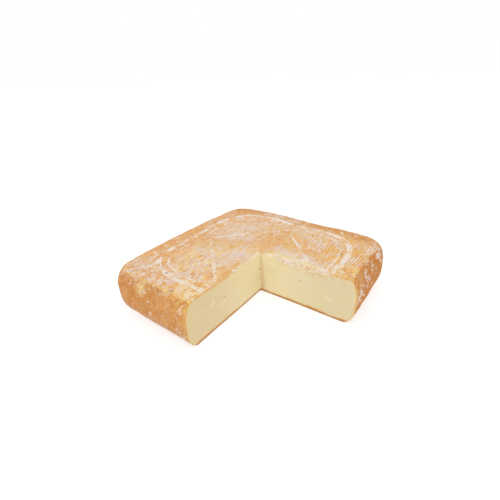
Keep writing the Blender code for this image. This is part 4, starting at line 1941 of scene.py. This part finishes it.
@dataclass(frozen=True)
class PasteFinish:
    """Cut paste: smooth cream, more yellow under the rind, with the rind's thin edge round it.

    The reach is the distance from the inner corner, in millimetres, over which the tints turn from
    inner to outer.
    """

    inner: Tint = Tint(232, 217, 173)
    outer: Tint = Tint(210, 188, 145)
    # Painted light: a paler copy of the paste for the cut that faces -Y.
    lit_cut_inner: Tint = Tint(231, 216, 175)
    lit_cut_outer: Tint = Tint(212, 196, 157)
    yellow: Tint = Tint(221, 194, 134)
    gold: Tint = Tint(210, 160, 88)
    edge: Tint = Tint(176, 118, 54)
    white: Tint = Tint(238, 227, 200)
    # Painted shade beside the inner corner.
    corner_shade: Tint = Tint(212, 176, 124)
    crumb: Tint = Tint(204, 148, 82)
    # Painted shade inside the eyes.
    eye: Tint = Tint(204, 146, 66)
    reach: Pair = (2.0, 85.0)
    roughness: float = 0.5
    specular: float = 0.35
    relief_depth: float = 0.1 * MM
    grain_size: float = 1.6 * MM
    grain_draw: Triple = (0.5, 0.5, 1.0)
    glow_share: float = 0.25
    glow_radius: Triple = (1.0, 0.6, 0.3)
    glow_reach: float = 3 * MM

    def ground(self, coat: Coat) -> None:
        """Lays the paste: paler at the inner corner, faintly clouded and brushed along the knife, with
        painted light and shade: a paler copy of the paste on the cut that faces -Y, and a darker band beside
        the inner corner.

        Args:
            coat: the material.
        """
        wiring = coat.wiring
        outward = wiring.ramp(wiring.field("corner_gap"), *self.reach)
        left = wiring.mix(outward, self.inner, self.outer)
        # Painted light and shade: the two cuts take lighter and darker copies of one paste.
        right = wiring.mix(outward, self.lit_cut_inner, self.lit_cut_outer)
        coat.colour = wiring.mix(wiring.field("pale"), left, right)
        coat.lay(self.yellow, coat.speckle(20 * MM, 0.5, 0.2, detail=2.0), 0.18)
        coat.lay(self.white, coat.speckle(4.0 * MM, 0.4, 0.2, (0.3, 0.3, 1.0)), 0.12)
        coat.lay(self.yellow, coat.speckle(1.8 * MM, 0.34, 0.12, (0.7, 0.7, 1.0)), 0.1)
        # Painted shade: the darker band beside the inner corner.
        coat.lay(self.corner_shade, wiring.field("corner_shade"), 0.75)

    def rim(self, coat: Coat) -> None:
        """Lays the rind's edge round the cut: yellow, gold and brown bands that waver.

        Args:
            coat: the material.
        """
        wiring = coat.wiring
        wobble, slow = coat.waver(2.4 * MM, 3.0), coat.waver(9 * MM)
        side = wiring.scaled(wobble, 2.4, wiring.field("side_gap"))
        coat.lay(self.yellow, wiring.ramp(side, 3.2, 0.6), 0.75)
        coat.lay(self.gold, wiring.ramp(side, 1.5, 0.3), 0.7)
        lip = wiring.scaled(wobble, 1.4, wiring.field("lip_gap"))
        lip = wiring.scaled(wiring.field("drawn"), 3.0, lip)
        coat.lay(self.yellow, wiring.ramp(lip, 2.2, 0.6), 0.6)
        coat.lay(self.gold, wiring.ramp(lip, 1.0, 0.3), 0.8)
        coat.dapple(self.edge, wiring.ramp(lip, 0.8, 0.2), 0.6, 3 * MM, 0.5, 0.06)
        foot = wiring.calc("DIVIDE", coat.z, MM)
        high = wiring.scaled(slow, 5.0, wiring.scaled(wobble, 1.5, foot))
        coat.lay(self.gold, wiring.ramp(high, 3.9, 1.5))
        low = wiring.scaled(slow, 1.6, wiring.scaled(wobble, 0.9, foot))
        coat.lay(self.edge, wiring.ramp(low, 2.3, 1.2))

    def drag(self, coat: Coat) -> None:
        """Lays the knife's drag under the lip: painted shadow in the creases under the ledges, pale smears
        with painted highlight on the fold crests, and crumbs of rind.

        Args:
            coat: the material.
        """
        # Painted shadow in the creases, then pale smears that are partly painted highlight.
        coat.dapple(self.gold, coat.wiring.field("crease_shade"), 0.85, 5 * MM, 0.5, 0.12, detail=4.0)
        coat.dapple(self.white, coat.wiring.field("smear_and_highlight"), 0.85, 9 * MM, 0.66, 0.1)
        mass = coat.wiring.field("mass")
        coat.dapple(self.crumb, mass, 0.85, 2.4 * MM, 0.52, 0.05)
        coat.dapple(self.white, mass, 0.8, 1.9 * MM, 0.36, 0.05, detail=1.0)

    def build(self, effects: SharedEffects) -> bpy.types.Material:
        """Builds the material.

        Args:
            effects: the shared node groups.

        Returns:
            The material.
        """
        coat = Coat("cut_paste", effects)
        self.ground(coat)
        self.rim(coat)
        self.drag(coat)
        # Pale scuffs, and painted highlight beside the eyes.
        coat.lay(self.white, coat.wiring.field("mark"), 0.75)
        # Painted shade: darker gold laid in the sunk marks.
        coat.lay(self.gold, coat.wiring.field("dent_shade"), 0.7)
        # Painted shade: the eyes' insides are laid in darker orange.
        coat.lay(self.eye, coat.wiring.field("eye"))
        coat.shader.inputs["Subsurface Weight"].default_value = self.glow_share
        coat.shader.inputs["Subsurface Radius"].default_value = self.glow_radius
        coat.shader.inputs["Subsurface Scale"].default_value = self.glow_reach
        inputs = {"Vector": coat.wiring.places(self.grain_draw), "Size": self.grain_size}
        relief = coat.wiring.group(effects.grain, inputs)
        return coat.finish(relief, self.relief_depth, self.roughness, self.specular)


@dataclass(frozen=True)
class CrumbFinish:
    """Crumbs: each its own shade between golden rind, straw and white bloom."""

    gold: Tint = Tint(214, 156, 84)
    straw: Tint = Tint(234, 202, 128)
    white: Tint = Tint(236, 224, 206)
    straw_shades: Pair = (0.2, 0.45)
    white_shades: Pair = (0.6, 0.8)
    roughness: float = 0.8
    specular: float = 0.2
    relief_depth: float = 0.1 * MM
    grain_size: float = 0.5 * MM

    def build(self, effects: SharedEffects) -> bpy.types.Material:
        """Builds the material.

        Args:
            effects: the shared node groups.

        Returns:
            The material.
        """
        coat = Coat("crumbs", effects)
        shade = coat.wiring.field("shade")
        coat.colour = coat.wiring.mix(coat.wiring.ramp(shade, *self.straw_shades), self.gold, self.straw)
        coat.lay(self.white, coat.wiring.ramp(shade, *self.white_shades), 0.9)
        coat.lay(self.gold, coat.speckle(0.8 * MM, 0.4, 0.08, detail=1.0), 0.3)
        relief = coat.wiring.group(effects.grain, {"Vector": coat.here, "Size": self.grain_size})
        return coat.finish(relief, self.relief_depth, self.roughness, self.specular)


@dataclass(frozen=True)
class PhotoCamera:
    """The photograph's viewpoint: where it stands, and where its aim falls in a 500 pixel frame."""

    azimuth: float = math.radians(34.303)
    elevation: float = math.radians(32.023)
    roll: float = math.radians(-0.543)
    distance: float = 316.645 * MM
    focal_pixels: float = 317.708
    aim_pixel: Pair = (260.441, 269.257)
    aim_height: float = 25 * MM
    frame_pixels: float = 500.0
    sensor: float = 36.0
    near_limit: float = 10 * MM

    def build(self, form: CheeseForm) -> None:
        """Places the camera so that the inner corner's middle falls on its pixel.

        Args:
            form: the cheese, whose inner corner the camera aims at.
        """
        level = Vector((math.sin(self.azimuth), -math.cos(self.azimuth), 0.0))
        away = level * math.cos(self.elevation) + Vector((0.0, 0.0, math.sin(self.elevation)))
        right = Vector((math.cos(self.azimuth), math.sin(self.azimuth), 0.0))
        up = away.cross(right)
        turn = Matrix.Rotation(self.roll, 3, away)
        right, up = turn @ right, turn @ up
        aside = (self.aim_pixel[0] - self.frame_pixels / 2) / self.focal_pixels
        below = (self.aim_pixel[1] - self.frame_pixels / 2) / self.focal_pixels
        yaw = math.atan(aside)
        turn = Matrix.Rotation(yaw, 3, up)
        right, back = turn @ right, turn @ away
        turn = Matrix.Rotation(math.atan(below * math.cos(yaw)), 3, right)
        up, back = turn @ up, turn @ back
        aim = Vector((form.cut_x, form.cut_y, self.aim_height))
        data = bpy.data.cameras.new("photo_camera")
        data.sensor_width = self.sensor
        data.lens = self.sensor * self.focal_pixels / self.frame_pixels
        data.clip_start = self.near_limit
        camera = add_object("photo_camera", data)
        facing = Matrix((right, up, back)).transposed()
        camera.matrix_world = Matrix.LocRotScale(aim + away * self.distance, facing, None)
        bpy.context.scene.camera = camera


@dataclass(frozen=True)
class Studio:
    """A pale floor, a white surround and two large soft lamps."""

    floor_half: float = 40.0
    floor_gap: float = 0.1 * MM
    floor_glow: float = 0.6
    surround: float = 1.0
    key_power: float = 2.6
    key_size: float = 0.9
    key_place: Triple = (0.1, -0.9, 1.15)
    fill_power: float = 0.8
    fill_size: float = 1.2
    fill_place: Triple = (1.1, 0.1, 0.9)
    floor_tint: Tint = Tint(184, 186, 188)
    floor_roughness: float = 0.9
    floor_grain: float = 3 * MM
    floor_relief: float = 0.02 * MM
    floor_strength: float = 0.2
    white: Tint = Tint(255, 255, 255)

    def build_lamp(self, name: str, place: Triple, power: float, size: float) -> None:
        """Adds a square lamp that looks at the cheese.

        Args:
            name: name of the lamp.
            place: where it stands.
            power: its power in watts.
            size: its side.
        """
        data = bpy.data.lights.new(name, "AREA")
        data.energy = power
        data.size = size
        lamp = add_object(name, data)
        lamp.location = place
        lamp.rotation_euler = (-Vector(place)).to_track_quat("-Z", "Y").to_euler()

    def build(self, effects: SharedEffects) -> bpy.types.Object:
        """Builds the floor, the lamps and the surround.

        Args:
            effects: the shared node groups.

        Returns:
            The floor.
        """
        world = bpy.data.worlds.new("surround")
        world.use_nodes = True
        background = world.node_tree.nodes["Background"]
        background.inputs["Color"].default_value = self.white.linear()
        background.inputs["Strength"].default_value = self.surround
        bpy.context.scene.world = world
        self.build_lamp("key_lamp", self.key_place, self.key_power, self.key_size)
        self.build_lamp("fill_lamp", self.fill_place, self.fill_power, self.fill_size)
        h, z = self.floor_half, -self.floor_gap
        mesh = bpy.data.meshes.new("floor")
        mesh.from_pydata([(-h, -h, z), (h, -h, z), (h, h, z), (-h, h, z)], [], [(0, 1, 2, 3)])
        floor = add_object("floor", mesh)
        wiring, shader, material = new_material("pale_floor")
        shader.inputs["Base Color"].default_value = self.floor_tint.linear()
        grain = wiring.group(effects.grain, {"Vector": wiring.places(), "Size": self.floor_grain})
        wiring.bump(grain, self.floor_relief, self.floor_strength, shader)
        shader.inputs["Roughness"].default_value = self.floor_roughness
        shader.inputs["Emission Color"].default_value = self.white.linear()
        shader.inputs["Emission Strength"].default_value = self.floor_glow
        mesh.materials.append(material)
        return floor


def main() -> None:
    """Builds the cheese, its surroundings and the camera, and reports each piece."""
    logging.basicConfig(level=logging.INFO, format="%(message)s")
    form = CheeseForm()
    noise = GradientNoise(seed=7)
    relief = RindRelief(form, noise)
    cuts = {
        Side.LEFT: CutFace(noise, 1.0, LEFT_EYES, LEFT_MARKS),
        Side.RIGHT: CutFace(noise, -1.0, RIGHT_EYES, RIGHT_MARKS, RIGHT_LEDGES),
    }
    effects = SharedEffects()
    cheese = CheeseMesh(form, relief, cuts).build("cheese_surface")
    rind = RindFinish(relief.ridge_pitch, relief.ridge_tilt, form.cut_x)
    cheese.data.materials.append(rind.build(effects))
    cheese.data.materials.append(PasteFinish().build(effects))
    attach(cheese, BODY)
    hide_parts(NODE)
    crumbs = Crumbs().build("crumbs", cheese)
    crumbs.data.materials.append(CrumbFinish().build(effects))
    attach(crumbs, BODY)
    for piece in (cheese, crumbs):
        LOG.info("%s: %d points, %d faces", piece.name, len(piece.data.vertices), len(piece.data.polygons))
    Studio().build(effects)
    PhotoCamera().build(form)
    bpy.context.scene.view_settings.view_transform = "Standard"


if __name__ == "__main__":
    main()
